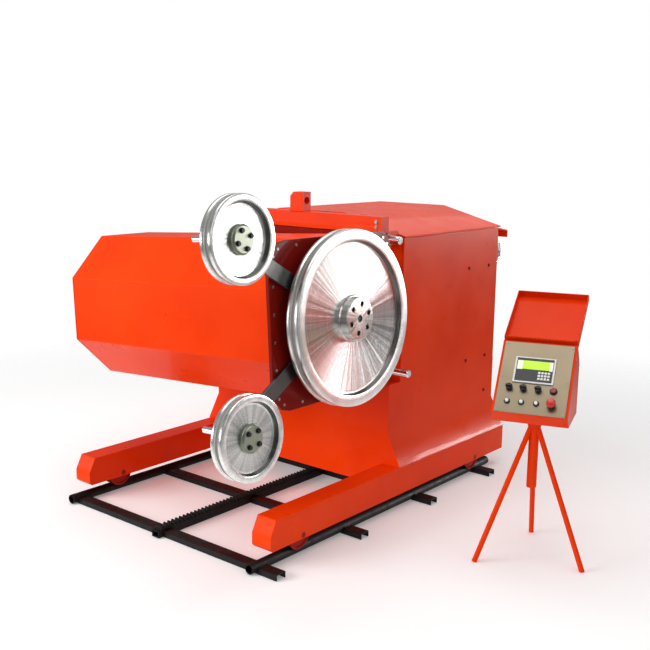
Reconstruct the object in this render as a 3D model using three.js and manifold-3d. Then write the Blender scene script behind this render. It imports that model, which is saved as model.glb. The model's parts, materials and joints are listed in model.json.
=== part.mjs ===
// Rail-mounted diamond wire saw for slabbing stone blocks, with its tripod control console.
// Millimetres, +Z up. X runs across the track, +Y runs back along it. The origin lies on the
// track's centre line, at the underside of the second tie.
import * as THREE from 'three';
import * as BufferGeometryUtils from 'three/addons/utils/BufferGeometryUtils.js';
import Module from 'manifold-3d';

const wasm = await Module();
wasm.setup();

// ---------------------------------------------------------------- driving dimensions
const GAP = 0.3; // between pieces that touch

const TRACK = {
  halfGauge: 640, railRadius: 24, railZ: 26, front: -660, rear: 1355,
  tieSpacing: 600, tieCount: 4, tieWidth: 60, tieHeight: 30, tieWall: 5,
  tieLeft: -668, tieRight: 776, padHalf: 60,
  rackX: 20, rackWidth: 50, rackBottom: 2, rackRoot: 38, toothPitch: 25.13, toothDepth: 14,
};
const RAIL_TOP = TRACK.railZ + TRACK.railRadius;

const BEAM = { width: 114, bottom: 91, top: 233, front: -582, rear: 1448, wall: 11 };
const WHEEL = { tread: 58, flange: 75, width: 68, journal: 14, front: -360, rear: 1140 };
const WHEEL_Z = RAIL_TOP + GAP + WHEEL.tread;

const BODY = {
  halfWidth: 618, wall: 10, front: 386, rear: 1431, skirtBottom: 112, fold: 400,
  shelf: 640, upperFront: 487, sideTop: 1402, ridge: 1508, ridgeHalf: 235, roofSheet: 8,
};
const SKIRT_HALF = TRACK.halfGauge + BEAM.width / 2 + 4;
const BEAM_INNER = TRACK.halfGauge - BEAM.width / 2;

const DOOR = { halfWidth: 520, bottom: 690, top: 1330, sheet: 10 };

const SLIDE = {
  rodRadius: 20, rodY: 375, upperZ: 1400, lowerZ: 740, upperHalf: 676, lowerHalf: 748,
  beamHalf: 588, beamFront: 330, beamBack: 392, beamBottom: 1432, beamTop: 1512,
  hangerX: 560, hangerWidth: 40,
  screwZ: 1070, screwY: 420, screwRadius: 16,
};
const CARRIAGE = { halfWidth: 380, front: 290, back: 325, bottom: 700, top: 1428, bushX: 260 };

const HEAD = { y: -132, z: 1045, tiltDegrees: 3.6 };
const HOUSING = { half: 367, chamfer: 205, wall: 10, left: -783, right: 665.7 };
const PLATE = { back: 666, front: 686, halfY: 440, halfZ: 371, corner: 100, bore: 58 };
const RING = { innerBore: 180, split: 229, outer: 290 };
const FLYWHEEL = { radius: 400, back: 736, front: 801, rimDepth: 58, bore: 50 };
const PULLEY = { radius: 181, back: 739, front: 801, boltFlange: 68 };
const ARM = { reach: 798, angleDegrees: 30, thickness: 15.5, width: 72, collar: 128, bore: 92 };
const AXLE = { radius: 15, left: 515, right: 812 };

const CONSOLE = {
  x: 1456, y: 354, turnDegrees: 18.4, width: 332, bottom: 660, lipDepth: 126,
  panelBottom: 717, frontDepth: 185, panelTop: 990, topDepth: -44, backDepth: -140, backTop: 900,
  lidLength: 361, lidDepth: 34, lidLean: 22.7, lidSheet: 4,
  legRadius: 12.5, legSpread: 277, postRadius: 23, postBottom: 330,
};

// ---------------------------------------------------------------- paint and metal
const material = (color, roughness, metalness) =>
  new THREE.MeshStandardMaterial({ color, roughness, metalness });
const ORANGE = material(0xf04a14, 0.35, 0.1);
const DARK_RED = material(0x7a0f0a, 0.4, 0.1);
const BLACK = material(0x16161a, 0.5, 0.4);
const POLISHED = material(0xd8d8d4, 0.2, 0.95);
const STEEL = material(0x8c9290, 0.4, 0.9);
const PANEL = material(0x96826c, 0.35, 0.8);
const DARK_PLASTIC = material(0x121212, 0.5, 0.0);
const RED_PLASTIC = material(0xc01818, 0.4, 0.0);
const SCREEN = material(0x1c2a18, 0.2, 0.0);

// ---------------------------------------------------------------- geometry helpers
function toSolid(geometry) {
  const bare = geometry.clone();
  bare.deleteAttribute('normal');
  bare.deleteAttribute('uv');
  const merged = BufferGeometryUtils.mergeVertices(bare, 1e-4);
  return new wasm.Manifold(new wasm.Mesh({
    numProp: 3,
    vertProperties: new Float32Array(merged.attributes.position.array),
    triVerts: new Uint32Array(merged.index.array),
  }));
}

function fromSolid(solid) {
  const mesh = solid.getMesh();
  const geometry = new THREE.BufferGeometry();
  geometry.setAttribute('position', new THREE.BufferAttribute(mesh.vertProperties, 3));
  geometry.setIndex(new THREE.BufferAttribute(mesh.triVerts, 1));
  geometry.computeVertexNormals();
  return geometry;
}

function combine(base, { add = [], cut = [] }) {
  let solid = toSolid(base);
  for (const piece of add) solid = solid.add(toSolid(piece));
  for (const piece of cut) solid = solid.subtract(toSolid(piece));
  return fromSolid(solid);
}

// An axis-aligned box given by its limits along X, Y and Z.
function box([x0, x1], [y0, y1], [z0, z1]) {
  const geometry = new THREE.BoxGeometry(x1 - x0, y1 - y0, z1 - z0);
  return geometry.translate((x0 + x1) / 2, (y0 + y1) / 2, (z0 + z1) / 2);
}

function shapeOf(points) {
  return new THREE.Shape(points.map(([a, b]) => new THREE.Vector2(a, b)));
}

// Extrudes an outline drawn in (y, z) along X.
function extrudeX(shape, x0, x1) {
  const geometry = new THREE.ExtrudeGeometry(shape, { depth: x1 - x0, bevelEnabled: false });
  const turn = new THREE.Matrix4().makeBasis(
    new THREE.Vector3(0, 1, 0), new THREE.Vector3(0, 0, 1), new THREE.Vector3(1, 0, 0));
  return geometry.applyMatrix4(turn).translate(x0, 0, 0);
}

// Extrudes an outline drawn in (x, z) along Y.
function extrudeY(shape, y0, y1) {
  const geometry = new THREE.ExtrudeGeometry(shape, { depth: y1 - y0, bevelEnabled: false });
  const turn = new THREE.Matrix4().makeBasis(
    new THREE.Vector3(1, 0, 0), new THREE.Vector3(0, 0, 1), new THREE.Vector3(0, -1, 0));
  return geometry.applyMatrix4(turn).translate(0, y1, 0);
}

// Turns a closed profile of [height, radius] points about the X axis.
function turnedX(profile, segments) {
  let area = 0;
  profile.forEach(([h, r], i) => {
    const [h2, r2] = profile[(i + 1) % profile.length];
    area += r * h2 - r2 * h;
  });
  const ordered = area > 0 ? [...profile] : [...profile].reverse();
  const points = [...ordered, ordered[0]].map(([h, r]) => new THREE.Vector2(r, h));
  return new THREE.LatheGeometry(points, segments).rotateZ(-Math.PI / 2);
}

const turnedY = (profile, segments) => turnedX(profile, segments).rotateZ(Math.PI / 2);

function rodX(radius, x0, x1, y, z, segments = 20) {
  return turnedX([[x0, 0], [x0, radius], [x1, radius], [x1, 0]], segments).translate(0, y, z);
}

function rodY(radius, y0, y1, x, z, segments = 16) {
  return turnedY([[y0, 0], [y0, radius], [y1, radius], [y1, 0]], segments).translate(x, 0, z);
}

// A round bar between two points.
function barBetween(start, end, radius, segments = 12) {
  const along = new THREE.Vector3().subVectors(end, start);
  const geometry = new THREE.CylinderGeometry(radius, radius, along.length(), segments);
  const turn = new THREE.Quaternion().setFromUnitVectors(
    new THREE.Vector3(0, 1, 0), along.clone().normalize());
  geometry.applyQuaternion(turn);
  const middle = start.clone().add(end).multiplyScalar(0.5);
  return geometry.translate(middle.x, middle.y, middle.z);
}

// An outline with the same cut corner on all four sides of a rectangle.
function octagon(half, chamfer) {
  const flat = half - chamfer;
  return [[half, flat], [flat, half], [-flat, half], [-half, flat],
    [-half, -flat], [-flat, -half], [flat, -half], [half, -flat]];
}

function roundedRectangle(halfA, halfB, radius, steps) {
  const points = [];
  const corners = [[1, 1, 0], [-1, 1, 90], [-1, -1, 180], [1, -1, 270]];
  for (const [a, b, start] of corners) {
    for (let i = 0; i <= steps; i += 1) {
      const angle = THREE.MathUtils.degToRad(start + (90 * i) / steps);
      points.push([
        a * (halfA - radius) + radius * Math.cos(angle),
        b * (halfB - radius) + radius * Math.sin(angle),
      ]);
    }
  }
  return points;
}

const group = new THREE.Group();

function addMesh(parent, name, geometry, paint) {
  const mesh = new THREE.Mesh(geometry, paint);
  mesh.name = name;
  parent.add(mesh);
  return mesh;
}

// ---------------------------------------------------------------- track
// A tie is an upturned channel with a base pad under its middle.
function tieGeometry(y) {
  const half = TRACK.tieWidth / 2;
  const inner = half - TRACK.tieWall;
  const outline = [[y - half, 0], [y - inner, 0], [y - inner, TRACK.tieHeight - TRACK.tieWall],
    [y + inner, TRACK.tieHeight - TRACK.tieWall], [y + inner, 0], [y + half, 0],
    [y + half, TRACK.tieHeight], [y - half, TRACK.tieHeight]];
  const channel = extrudeX(shapeOf(outline), TRACK.tieLeft, TRACK.tieRight);
  const pad = box([-TRACK.padHalf, TRACK.padHalf], [y - half, y + half], [0, TRACK.tieWall]);
  return combine(channel, { add: [pad] });
}

// Notches let a rail or the rack sit down over the ties.
function notchedOverTies(geometry, x, halfWidth) {
  const half = TRACK.tieWidth / 2 + GAP;
  const notches = [];
  for (let i = 0; i < TRACK.tieCount; i += 1) {
    const y = (i - 1) * TRACK.tieSpacing;
    notches.push(box([x - halfWidth, x + halfWidth], [y - half, y + half],
      [-5, TRACK.tieHeight + GAP]));
  }
  return combine(geometry, { cut: notches });
}

const PINION = { y: 760, teeth: 14 };
PINION.pitchRadius = (PINION.teeth * TRACK.toothPitch) / (2 * Math.PI);
PINION.z = TRACK.rackRoot + TRACK.toothDepth / 2 + PINION.pitchRadius + 1.2;

// The teeth are centred on the pinion, so that a gap lies under its lowest tooth.
function rackGeometry() {
  const { front, rear, rackX, rackWidth, rackBottom, rackRoot, toothPitch, toothDepth } = TRACK;
  const first = Math.ceil((front - PINION.y) / toothPitch);
  const last = Math.floor((rear - PINION.y) / toothPitch);
  const outline = [[rear, rackRoot], [rear, rackBottom], [front, rackBottom], [front, rackRoot]];
  for (let i = first; i < last; i += 1) {
    const middle = PINION.y + (i + 0.5) * toothPitch;
    for (const [share, height] of [[-0.33, 0], [-0.12, toothDepth], [0.12, toothDepth], [0.33, 0]]) {
      outline.push([middle + share * toothPitch, rackRoot + height]);
    }
  }
  const bar = extrudeX(shapeOf(outline), rackX - rackWidth / 2, rackX + rackWidth / 2);
  return notchedOverTies(bar, rackX, rackWidth);
}

function buildTrack() {
  for (const [name, side] of [['rail_left', -1], ['rail_right', 1]]) {
    const x = side * TRACK.halfGauge;
    const rail = rodY(TRACK.railRadius, TRACK.front, TRACK.rear, x, TRACK.railZ);
    addMesh(group, name, notchedOverTies(rail, x, 2 * TRACK.railRadius), BLACK);
  }
  addMesh(group, 'rack_rail', rackGeometry(), BLACK);
  for (let i = 0; i < TRACK.tieCount; i += 1) {
    addMesh(group, `tie_${i + 1}`, tieGeometry((i - 1) * TRACK.tieSpacing), BLACK);
  }
}

// ---------------------------------------------------------------- truck beams and wheels
function beamGeometry(x) {
  const { front, rear, bottom, top, width, wall } = BEAM;
  const outline = [[front, bottom + 14], [front + 14, bottom], [rear, bottom], [rear, top],
    [front + 37, top], [front, top - 73]];
  const body = extrudeX(shapeOf(outline), x - width / 2, x + width / 2);
  const halfPocket = WHEEL.width / 2 + 6;
  const halfLength = WHEEL.flange + 10;
  const cuts = [];
  for (const y of [WHEEL.front, WHEEL.rear]) {
    cuts.push(box([x - halfPocket, x + halfPocket], [y - halfLength, y + halfLength],
      [bottom - 5, top - wall]));
    cuts.push(rodX(WHEEL.journal + 0.8, x - width, x + width, y, WHEEL_Z, 16));
  }
  return combine(body, { cut: cuts });
}

function wheelGeometry(x, y) {
  const { tread, flange, width, journal } = WHEEL;
  const seat = TRACK.railRadius + 2.5;
  const half = width / 2;
  const end = BEAM.width / 2 - 1;
  const profile = [[-end, 0], [-end, journal], [-half, journal], [-half, flange - 4],
    [-half + 4, flange], [-seat, flange], [-seat * 0.72, tread + 8], [-seat * 0.3, tread],
    [seat * 0.3, tread], [seat * 0.72, tread + 8], [seat, flange], [half - 4, flange],
    [half, flange - 4], [half, journal], [end, journal], [end, 0]];
  return turnedX(profile, 20).translate(x, y, WHEEL_Z);
}

function buildTrucks() {
  for (const [side, sign] of [['left', -1], ['right', 1]]) {
    const x = sign * TRACK.halfGauge;
    addMesh(group, `beam_${side}`, beamGeometry(x), ORANGE);
    addMesh(group, `wheel_front_${side}`, wheelGeometry(x, WHEEL.front), DARK_RED);
    addMesh(group, `wheel_rear_${side}`, wheelGeometry(x, WHEEL.rear), DARK_RED);
  }
}

// ---------------------------------------------------------------- pedestal and drive
function pedestalOutline(inset) {
  const half = BODY.halfWidth - inset;
  const foot = SKIRT_HALF - inset * 1.1;
  const lip = BEAM.top + GAP;
  return [[-foot, lip], [foot, lip], [half, BODY.fold], [half, BODY.shelf],
    [-half, BODY.shelf], [-half, BODY.fold]];
}

function pedestalGeometry() {
  const { front, rear, wall, shelf, skirtBottom, halfWidth } = BODY;
  const outer = extrudeY(shapeOf(pedestalOutline(0)), front, rear);
  const hollow = extrudeY(shapeOf(pedestalOutline(wall)), front + wall, rear - wall);
  const inside = [front + wall, rear - wall];
  const throat = halfWidth - wall;
  const mouth = SKIRT_HALF - wall * 1.1;
  const apron = (y) => box([-BEAM_INNER + GAP, BEAM_INNER - GAP], [y, y + wall],
    [skirtBottom, BEAM.top + 10]);
  return combine(outer, {
    cut: [hollow, box([-throat, throat], inside, [shelf - 20, shelf + 20]),
      box([-mouth, mouth], inside, [BEAM.top - 20, BEAM.top + 3])],
    add: [apron(front), apron(rear - wall)],
  });
}

// Pinion teeth on the rack's pitch, with a tooth pointing down into a gap.
function pinionGeometry() {
  const { teeth, pitchRadius } = PINION;
  const pitch = TRACK.toothPitch;
  const root = pitchRadius - TRACK.toothDepth / 2 - 1;
  const tip = pitchRadius + TRACK.toothDepth / 2 - 1.5;
  const outline = [];
  for (let i = 0; i < teeth; i += 1) {
    const middle = (2 * Math.PI * i) / teeth - Math.PI / 2;
    for (const [radius, share] of [[root, -0.27], [tip, -0.1], [tip, 0.1], [root, 0.27]]) {
      const angle = middle + (share * pitch) / pitchRadius;
      outline.push([PINION.y + radius * Math.cos(angle), PINION.z + radius * Math.sin(angle)]);
    }
  }
  const half = TRACK.rackWidth / 2 - 2;
  const shaft = rodX(16, half - 1, 70, PINION.y, PINION.z, 16);
  return combine(extrudeX(shapeOf(outline), -half, half), { add: [shaft] })
    .translate(TRACK.rackX, 0, 0);
}

function travelGearmotorGeometry() {
  const { y, z } = PINION;
  const floorUnder = BEAM.top + GAP;
  const gearbox = box([60, 190], [y - 70, y + 70], [z - 34, floorUnder - GAP]);
  const motor = rodX(58, 180, 430, y, z + 30, 20);
  return combine(gearbox, { add: [motor], cut: [rodX(16.5, 50, 72, y, z, 16)] })
    .translate(TRACK.rackX, 0, 0);
}

function floorPlateGeometry() {
  const half = SKIRT_HALF - 2 * BODY.wall;
  const inside = [BODY.front + BODY.wall + GAP, BODY.rear - BODY.wall - GAP];
  return box([-half, half], inside, [BEAM.top + GAP, BEAM.top + 8]);
}

function buildPedestal() {
  addMesh(group, 'pedestal', pedestalGeometry(), ORANGE);
  addMesh(group, 'floor_plate', floorPlateGeometry(), DARK_RED);
  addMesh(group, 'travel_gearmotor', travelGearmotorGeometry(), STEEL);
  addMesh(group, 'drive_pinion', pinionGeometry(), STEEL);
}

// ---------------------------------------------------------------- upper cabinet
const shelfTop = BODY.shelf + GAP + BODY.wall;
const roofSlope = (BODY.ridge - BODY.sideTop - 9) / (BODY.halfWidth - BODY.ridgeHalf);

// The wall's gabled outline, from the shelf up to just under the roof sheet.
function gable(halfWidth, bottom) {
  const underRidge = BODY.ridge - BODY.roofSheet - 1.2;
  const eave = underRidge - roofSlope * (halfWidth - BODY.ridgeHalf) - 1;
  return [[-halfWidth, bottom], [halfWidth, bottom], [halfWidth, eave],
    [BODY.ridgeHalf, underRidge], [-BODY.ridgeHalf, underRidge], [-halfWidth, eave]];
}

function rodHanger(x, z) {
  const half = SLIDE.hangerWidth / 2;
  return box([x - half, x + half], [SLIDE.rodY - 35, BODY.upperFront + 2], [z - 38, z + 38]);
}

function cabinetFrontGeometry() {
  const { halfWidth, wall, upperFront, front, shelf } = BODY;
  const half = halfWidth - wall - GAP;
  const panel = extrudeY(shapeOf(gable(half, shelfTop - wall)), upperFront, upperFront + wall);
  const shelfPlate = box([-halfWidth, halfWidth], [front, upperFront + 2],
    [shelf + GAP, shelfTop]);
  const hangers = [];
  const bores = [];
  for (const sign of [-1, 1]) {
    hangers.push(rodHanger(sign * SLIDE.hangerX, SLIDE.lowerZ));
    hangers.push(rodHanger(sign * SLIDE.hangerX, SLIDE.screwZ));
  }
  bores.push(rodX(SLIDE.rodRadius + GAP, -halfWidth, halfWidth, SLIDE.rodY, SLIDE.lowerZ));
  bores.push(rodX(SLIDE.screwRadius + GAP, -halfWidth, halfWidth, SLIDE.screwY, SLIDE.screwZ));
  return combine(panel, { add: [shelfPlate, ...hangers], cut: bores });
}

function sidePanelGeometry(sign) {
  const { halfWidth, wall, upperFront, rear, sideTop } = BODY;
  const limits = [sign * halfWidth, sign * (halfWidth - wall)].sort((a, b) => a - b);
  return box(limits, [upperFront, rear], [shelfTop + GAP, sideTop - 1]);
}

function cabinetRearGeometry() {
  const half = BODY.halfWidth - BODY.wall - GAP;
  const doorway = box([-DOOR.halfWidth + 30, DOOR.halfWidth - 30], [BODY.rear - 40, BODY.rear + 40],
    [DOOR.bottom + 30, DOOR.top - 30]);
  const panel = extrudeY(
    shapeOf(gable(half, BODY.shelf + GAP)), BODY.rear - BODY.wall, BODY.rear);
  return combine(panel, { cut: [doorway] });
}

function roofGeometry() {
  const { halfWidth, ridge, ridgeHalf, roofSheet, upperFront, rear } = BODY;
  const edge = halfWidth + 6;
  const eave = ridge - roofSlope * (edge - ridgeHalf);
  const outline = [[edge, eave], [ridgeHalf, ridge], [-ridgeHalf, ridge], [-edge, eave],
    [-edge, eave - roofSheet], [-ridgeHalf, ridge - roofSheet], [ridgeHalf, ridge - roofSheet],
    [edge, eave - roofSheet]];
  return extrudeY(shapeOf(outline), upperFront, rear + 12);
}

// A small hood over the rear door, sloping down to a turned-down lip.
function rearHoodGeometry() {
  const half = BODY.halfWidth - 4;
  const y = BODY.rear + GAP;
  const outline = [[y, 1399], [y, 1391], [y + 108, 1372], [y + 108, 1336], [y + 116, 1336],
    [y + 116, 1378]];
  return extrudeX(shapeOf(outline), -half, half);
}

function rearDoorGeometry() {
  const y = BODY.rear + GAP;
  return box([-DOOR.halfWidth, DOOR.halfWidth], [y, y + DOOR.sheet], [DOOR.bottom, DOOR.top]);
}

const LATCH = { x: 470, z: 1010 };
function doorLatchGeometry() {
  const y = BODY.rear + GAP + DOOR.sheet + GAP;
  const boss = rodY(22, y, y + 22, LATCH.x, LATCH.z);
  const grip = box([LATCH.x - 13, LATCH.x + 13], [y + 20, y + 40], [LATCH.z - 110, LATCH.z + 26]);
  return combine(boss, { add: [grip] });
}

function buildCabinet() {
  addMesh(group, 'cabinet_front', cabinetFrontGeometry(), ORANGE);
  addMesh(group, 'side_panel_left', sidePanelGeometry(-1), ORANGE);
  addMesh(group, 'side_panel_right', sidePanelGeometry(1), ORANGE);
  addMesh(group, 'cabinet_rear', cabinetRearGeometry(), ORANGE);
  addMesh(group, 'roof', roofGeometry(), ORANGE);
  addMesh(group, 'rear_hood', rearHoodGeometry(), ORANGE);
  addMesh(group, 'rear_door', rearDoorGeometry(), ORANGE);
  addMesh(group, 'door_latch', doorLatchGeometry(), POLISHED);
}

// ---------------------------------------------------------------- side-shift slide
// The fixed beam carries the upper guide rod and the lifting lug, and stands off the cabinet on
// brackets. Its lower edge flares forward.
function slideBeamGeometry() {
  const { beamFront, beamBack, beamBottom, beamTop, beamHalf, hangerX, hangerWidth } = SLIDE;
  const y = SLIDE.rodY;
  const rear = BODY.upperFront - GAP;
  const outline = [[beamFront, beamTop], [beamFront, beamBottom + 38], [beamFront - 12, beamBottom],
    [beamBack, beamBottom], [beamBack, beamTop]];
  const beam = extrudeX(shapeOf(outline), -beamHalf, beamHalf);
  const hangers = [-hangerX, hangerX].map((x) => box(
    [x - hangerWidth / 2, x + hangerWidth / 2], [y - 32, rear], [SLIDE.upperZ - 34, beamBottom + 4]));
  const brackets = [-300, 300].map((x) => box(
    [x - 40, x + 40], [beamBack - 4, rear], [beamBottom + 4, beamBottom + 34]));
  const [lugLeft, lugRight] = [-12, 78];
  const lugTop = beamTop + 100;
  const lugOutline = [[lugLeft, beamTop - 4], [lugLeft, lugTop - 22], [lugLeft + 22, lugTop],
    [lugRight, lugTop], [lugRight, beamTop - 4]];
  const lug = extrudeY(shapeOf(lugOutline), beamFront, beamBack);
  const eye = rodX(20, lugLeft - 5, lugRight + 5, (beamFront + beamBack) / 2, beamTop + 55);
  const bore = rodX(SLIDE.rodRadius + GAP, -beamHalf, beamHalf, y, SLIDE.upperZ);
  return combine(beam, { add: [...hangers, ...brackets, lug], cut: [eye, bore] });
}

function guideRodGeometry(halfLength, z) {
  const r = SLIDE.rodRadius;
  const profile = [[-halfLength, 0], [-halfLength, r - 4], [-halfLength + 4, r],
    [halfLength - 4, r], [halfLength, r - 4], [halfLength, 0]];
  return turnedX(profile, 20).translate(0, SLIDE.rodY, z);
}

function carriageGeometry() {
  const { halfWidth, front, back, bottom, top, bushX } = CARRIAGE;
  const plate = box([-halfWidth, halfWidth], [front, back], [bottom, top]);
  const bushes = [];
  for (const z of [SLIDE.upperZ, SLIDE.lowerZ]) {
    for (const x of [-bushX, bushX]) {
      bushes.push(box([x - 60, x + 60], [back - 5, SLIDE.rodY + 42],
        [Math.max(z - 40, bottom), Math.min(z + 40, top)]));
    }
  }
  const cable = rodY(90, front - 5, back + 5, 0, HEAD.z, 24);
  const bores = [SLIDE.upperZ, SLIDE.lowerZ].map((z) =>
    rodX(SLIDE.rodRadius + 0.6, -halfWidth, halfWidth, SLIDE.rodY, z));
  return combine(plate, { add: bushes, cut: [...bores, cable] });
}

// The gearmotor turns the nut that pulls the carriage along the fixed screw.
function shiftGearmotorGeometry() {
  const { screwY: y, screwZ: z, screwRadius } = SLIDE;
  const back = CARRIAGE.back + GAP;
  const gearbox = box([120, 230], [back, y + 50], [z - 62, z + 62]);
  const motor = rodX(48, 225, 355, y - 40, z + 118, 20);
  const neck = box([225, 300], [back, y + 10], [z + 50, z + 110]);
  return combine(gearbox, {
    add: [box([120, 230], [back, y + 20], [z + 60, z + 168]), motor, neck],
    cut: [rodX(screwRadius + 0.6, 100, 250, y, z)],
  });
}

// The slewing ring: the outer race belongs to the carriage, the inner race to the head.
function slewingRingGeometry(inner, outer, y0, y1) {
  return turnedY([[y0, inner], [y0, outer], [y1, outer], [y1, inner]], 40);
}

function buildSlide() {
  addMesh(group, 'slide_beam', slideBeamGeometry(), ORANGE);
  addMesh(group, 'guide_rod_upper', guideRodGeometry(SLIDE.upperHalf, SLIDE.upperZ), POLISHED);
  addMesh(group, 'guide_rod_lower', guideRodGeometry(SLIDE.lowerHalf, SLIDE.lowerZ), POLISHED);
  addMesh(group, 'shift_screw', rodX(SLIDE.screwRadius, -SLIDE.hangerX - 18, SLIDE.hangerX + 18,
    SLIDE.screwY, SLIDE.screwZ, 16), STEEL);
  addMesh(group, 'carriage', carriageGeometry(), DARK_RED);
  addMesh(group, 'shift_gearmotor', shiftGearmotorGeometry(), STEEL);
  const outerRing = slewingRingGeometry(RING.split + 3, RING.outer, housingBack + 7,
    CARRIAGE.front - GAP);
  addMesh(group, 'slewing_ring_outer', outerRing.translate(0, 0, HEAD.z), STEEL);
}

// ---------------------------------------------------------------- swivelling head
// Head-local axes: X along the flywheel shaft, Y and Z across it.
const housingBack = HEAD.y + HOUSING.half;
const head = new THREE.Group();
head.position.set(0, HEAD.y, HEAD.z);
head.rotation.y = -THREE.MathUtils.degToRad(HEAD.tiltDegrees);
group.add(head);

function housingShellGeometry() {
  const { half, chamfer, wall, left, right } = HOUSING;
  const inner = octagon(half - wall, chamfer - wall * 0.59);
  const shape = shapeOf(octagon(half, chamfer));
  shape.holes.push(new THREE.Path(inner.map(([a, b]) => new THREE.Vector2(a, b))));
  return extrudeX(shape, left + 10 + GAP, right);
}

function flangePlateGeometry() {
  const { back, front, halfY, halfZ, corner, bore } = PLATE;
  const shape = shapeOf(roundedRectangle(halfY, halfZ, corner, 3));
  const hole = new THREE.Path();
  hole.absarc(0, 0, bore, 0, 2 * Math.PI, true);
  shape.holes.push(hole);
  const geometry = new THREE.ExtrudeGeometry(shape,
    { depth: front - back, bevelEnabled: false, curveSegments: 16 });
  const turn = new THREE.Matrix4().makeBasis(
    new THREE.Vector3(0, 1, 0), new THREE.Vector3(0, 0, 1), new THREE.Vector3(1, 0, 0));
  return geometry.applyMatrix4(turn).translate(back, 0, 0);
}

function mainMotorGeometry() {
  const face = PLATE.back - GAP;
  const profile = [[-90, 0], [-90, 150], [-60, 185], [-40, 200], [face - 60, 200],
    [face - 40, 185], [face - 22, 185], [face - 22, 225], [face, 225], [face, 0]];
  return turnedX(profile, 24);
}

function spindleHousingGeometry() {
  const start = PLATE.front + GAP;
  const profile = [[start, 60], [start, 88], [FLYWHEEL.back - 4, 88], [FLYWHEEL.back - 4, 60]];
  return turnedX(profile, 28);
}

function buildHead() {
  addMesh(head, 'housing_shell', housingShellGeometry(), ORANGE);
  const cover = shapeOf(octagon(HOUSING.half, HOUSING.chamfer));
  addMesh(head, 'housing_end_cover', extrudeX(cover, HOUSING.left, HOUSING.left + 10), ORANGE);
  addMesh(head, 'flange_plate', flangePlateGeometry(), DARK_RED);
  addMesh(head, 'main_motor', mainMotorGeometry(), STEEL);
  addMesh(head, 'spindle_housing', spindleHousingGeometry(), STEEL);
  const innerRing = slewingRingGeometry(RING.innerBore, RING.split,
    HOUSING.half + GAP, HOUSING.half + 47);
  addMesh(head, 'slewing_ring_inner', innerRing, STEEL);
}

// ---------------------------------------------------------------- flywheel
function flywheelGeometry() {
  const { radius, back, front, rimDepth, bore } = FLYWHEEL;
  const middle = (back + front) / 2;
  const rimInner = radius - rimDepth;
  const profile = [[back, radius - 3], [back + 3, radius], [middle - 12, radius],
    [middle - 5, radius - 24], [middle + 5, radius - 24], [middle + 12, radius],
    [front - 3, radius], [front, radius - 3], [front, rimInner + 4], [front - 14, rimInner],
    [middle + 8, 120], [middle + 8, bore], [middle - 14, bore], [middle - 14, 130],
    [back + 14, rimInner], [back, rimInner + 4]];
  return turnedX(profile, 48);
}

function spindleGeometry() {
  const end = (FLYWHEEL.back + FLYWHEEL.front) / 2 + 8;
  const start = PLATE.back + 4;
  return turnedX([[start, 0], [start, 48], [end, 48], [end, 0]], 24);
}

// The hub clamps the wheel to the spindle; its boss has a centre hole for a puller.
function hubGeometry() {
  const base = (FLYWHEEL.back + FLYWHEEL.front) / 2 + 8 + GAP;
  const nose = FLYWHEEL.front + 34;
  const profile = [[base, 0], [base, 112], [base + 16, 116], [base + 24, 108], [nose - 16, 100],
    [nose - 4, 98], [nose, 94], [nose, 16], [nose - 34, 16], [nose - 34, 0]];
  return turnedX(profile, 32);
}

// ---------------------------------------------------------------- guide pulleys on their arms
// Each arm swings on its own collar round the spindle housing; the lower one lies behind.
function armGeometry(back, direction) {
  const { reach, thickness, width, collar, bore } = ARM;
  const bar = box([back, back + thickness], [-reach, -bore - 10], [-width / 2, width / 2]);
  const ring = turnedX([[back, bore], [back, collar], [back + thickness, collar],
    [back + thickness, bore]], 28);
  const boss = rodX(46, FLYWHEEL.back - 82, FLYWHEEL.back - 2, -reach, 0, 20);
  const bossClear = rodX(AXLE.radius + GAP, AXLE.left, AXLE.right, -reach, 0, 16);
  return combine(bar, { add: [ring, boss], cut: [bossClear] }).rotateX(direction);
}

function axleGeometry(direction) {
  const profile = [[AXLE.left, 0], [AXLE.left, AXLE.radius - 2], [AXLE.left + 2, AXLE.radius],
    [AXLE.right - 2, AXLE.radius], [AXLE.right, AXLE.radius - 2], [AXLE.right, 0]];
  return turnedX(profile, 16).translate(0, -ARM.reach, 0).rotateX(direction);
}

function pulleyGeometry(direction) {
  const { radius, back, front, boltFlange } = PULLEY;
  const middle = (back + front) / 2;
  const bore = AXLE.radius + 0.5;
  const profile = [[back, radius - 3], [back + 3, radius], [middle - 12, radius],
    [middle - 5, radius - 22], [middle + 5, radius - 22], [middle + 12, radius],
    [front - 3, radius], [front, radius - 3], [front, radius - 36], [front - 14, radius - 40],
    [middle + 6, boltFlange + 8], [front - 2, boltFlange], [front - 2, bore], [back, bore],
    [back, boltFlange], [middle - 6, boltFlange + 8], [back + 14, radius - 40],
    [back, radius - 36]];
  return turnedX(profile, 32).translate(0, -ARM.reach, 0).rotateX(direction);
}

function buildWheels() {
  addMesh(head, 'flywheel', flywheelGeometry(), POLISHED);
  addMesh(head, 'spindle', spindleGeometry(), STEEL);
  addMesh(head, 'flywheel_hub', hubGeometry(), POLISHED);
  const swing = THREE.MathUtils.degToRad(ARM.angleDegrees);
  const lowerBack = PLATE.front + 2;
  const levels = [['upper', -swing, lowerBack + ARM.thickness + 1], ['lower', swing, lowerBack]];
  for (const [side, direction, back] of levels) {
    addMesh(head, `guide_arm_${side}`, armGeometry(back, direction), STEEL);
    addMesh(head, `guide_axle_${side}`, axleGeometry(direction), POLISHED);
    addMesh(head, `guide_pulley_${side}`, pulleyGeometry(direction), POLISHED);
  }
}

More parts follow.
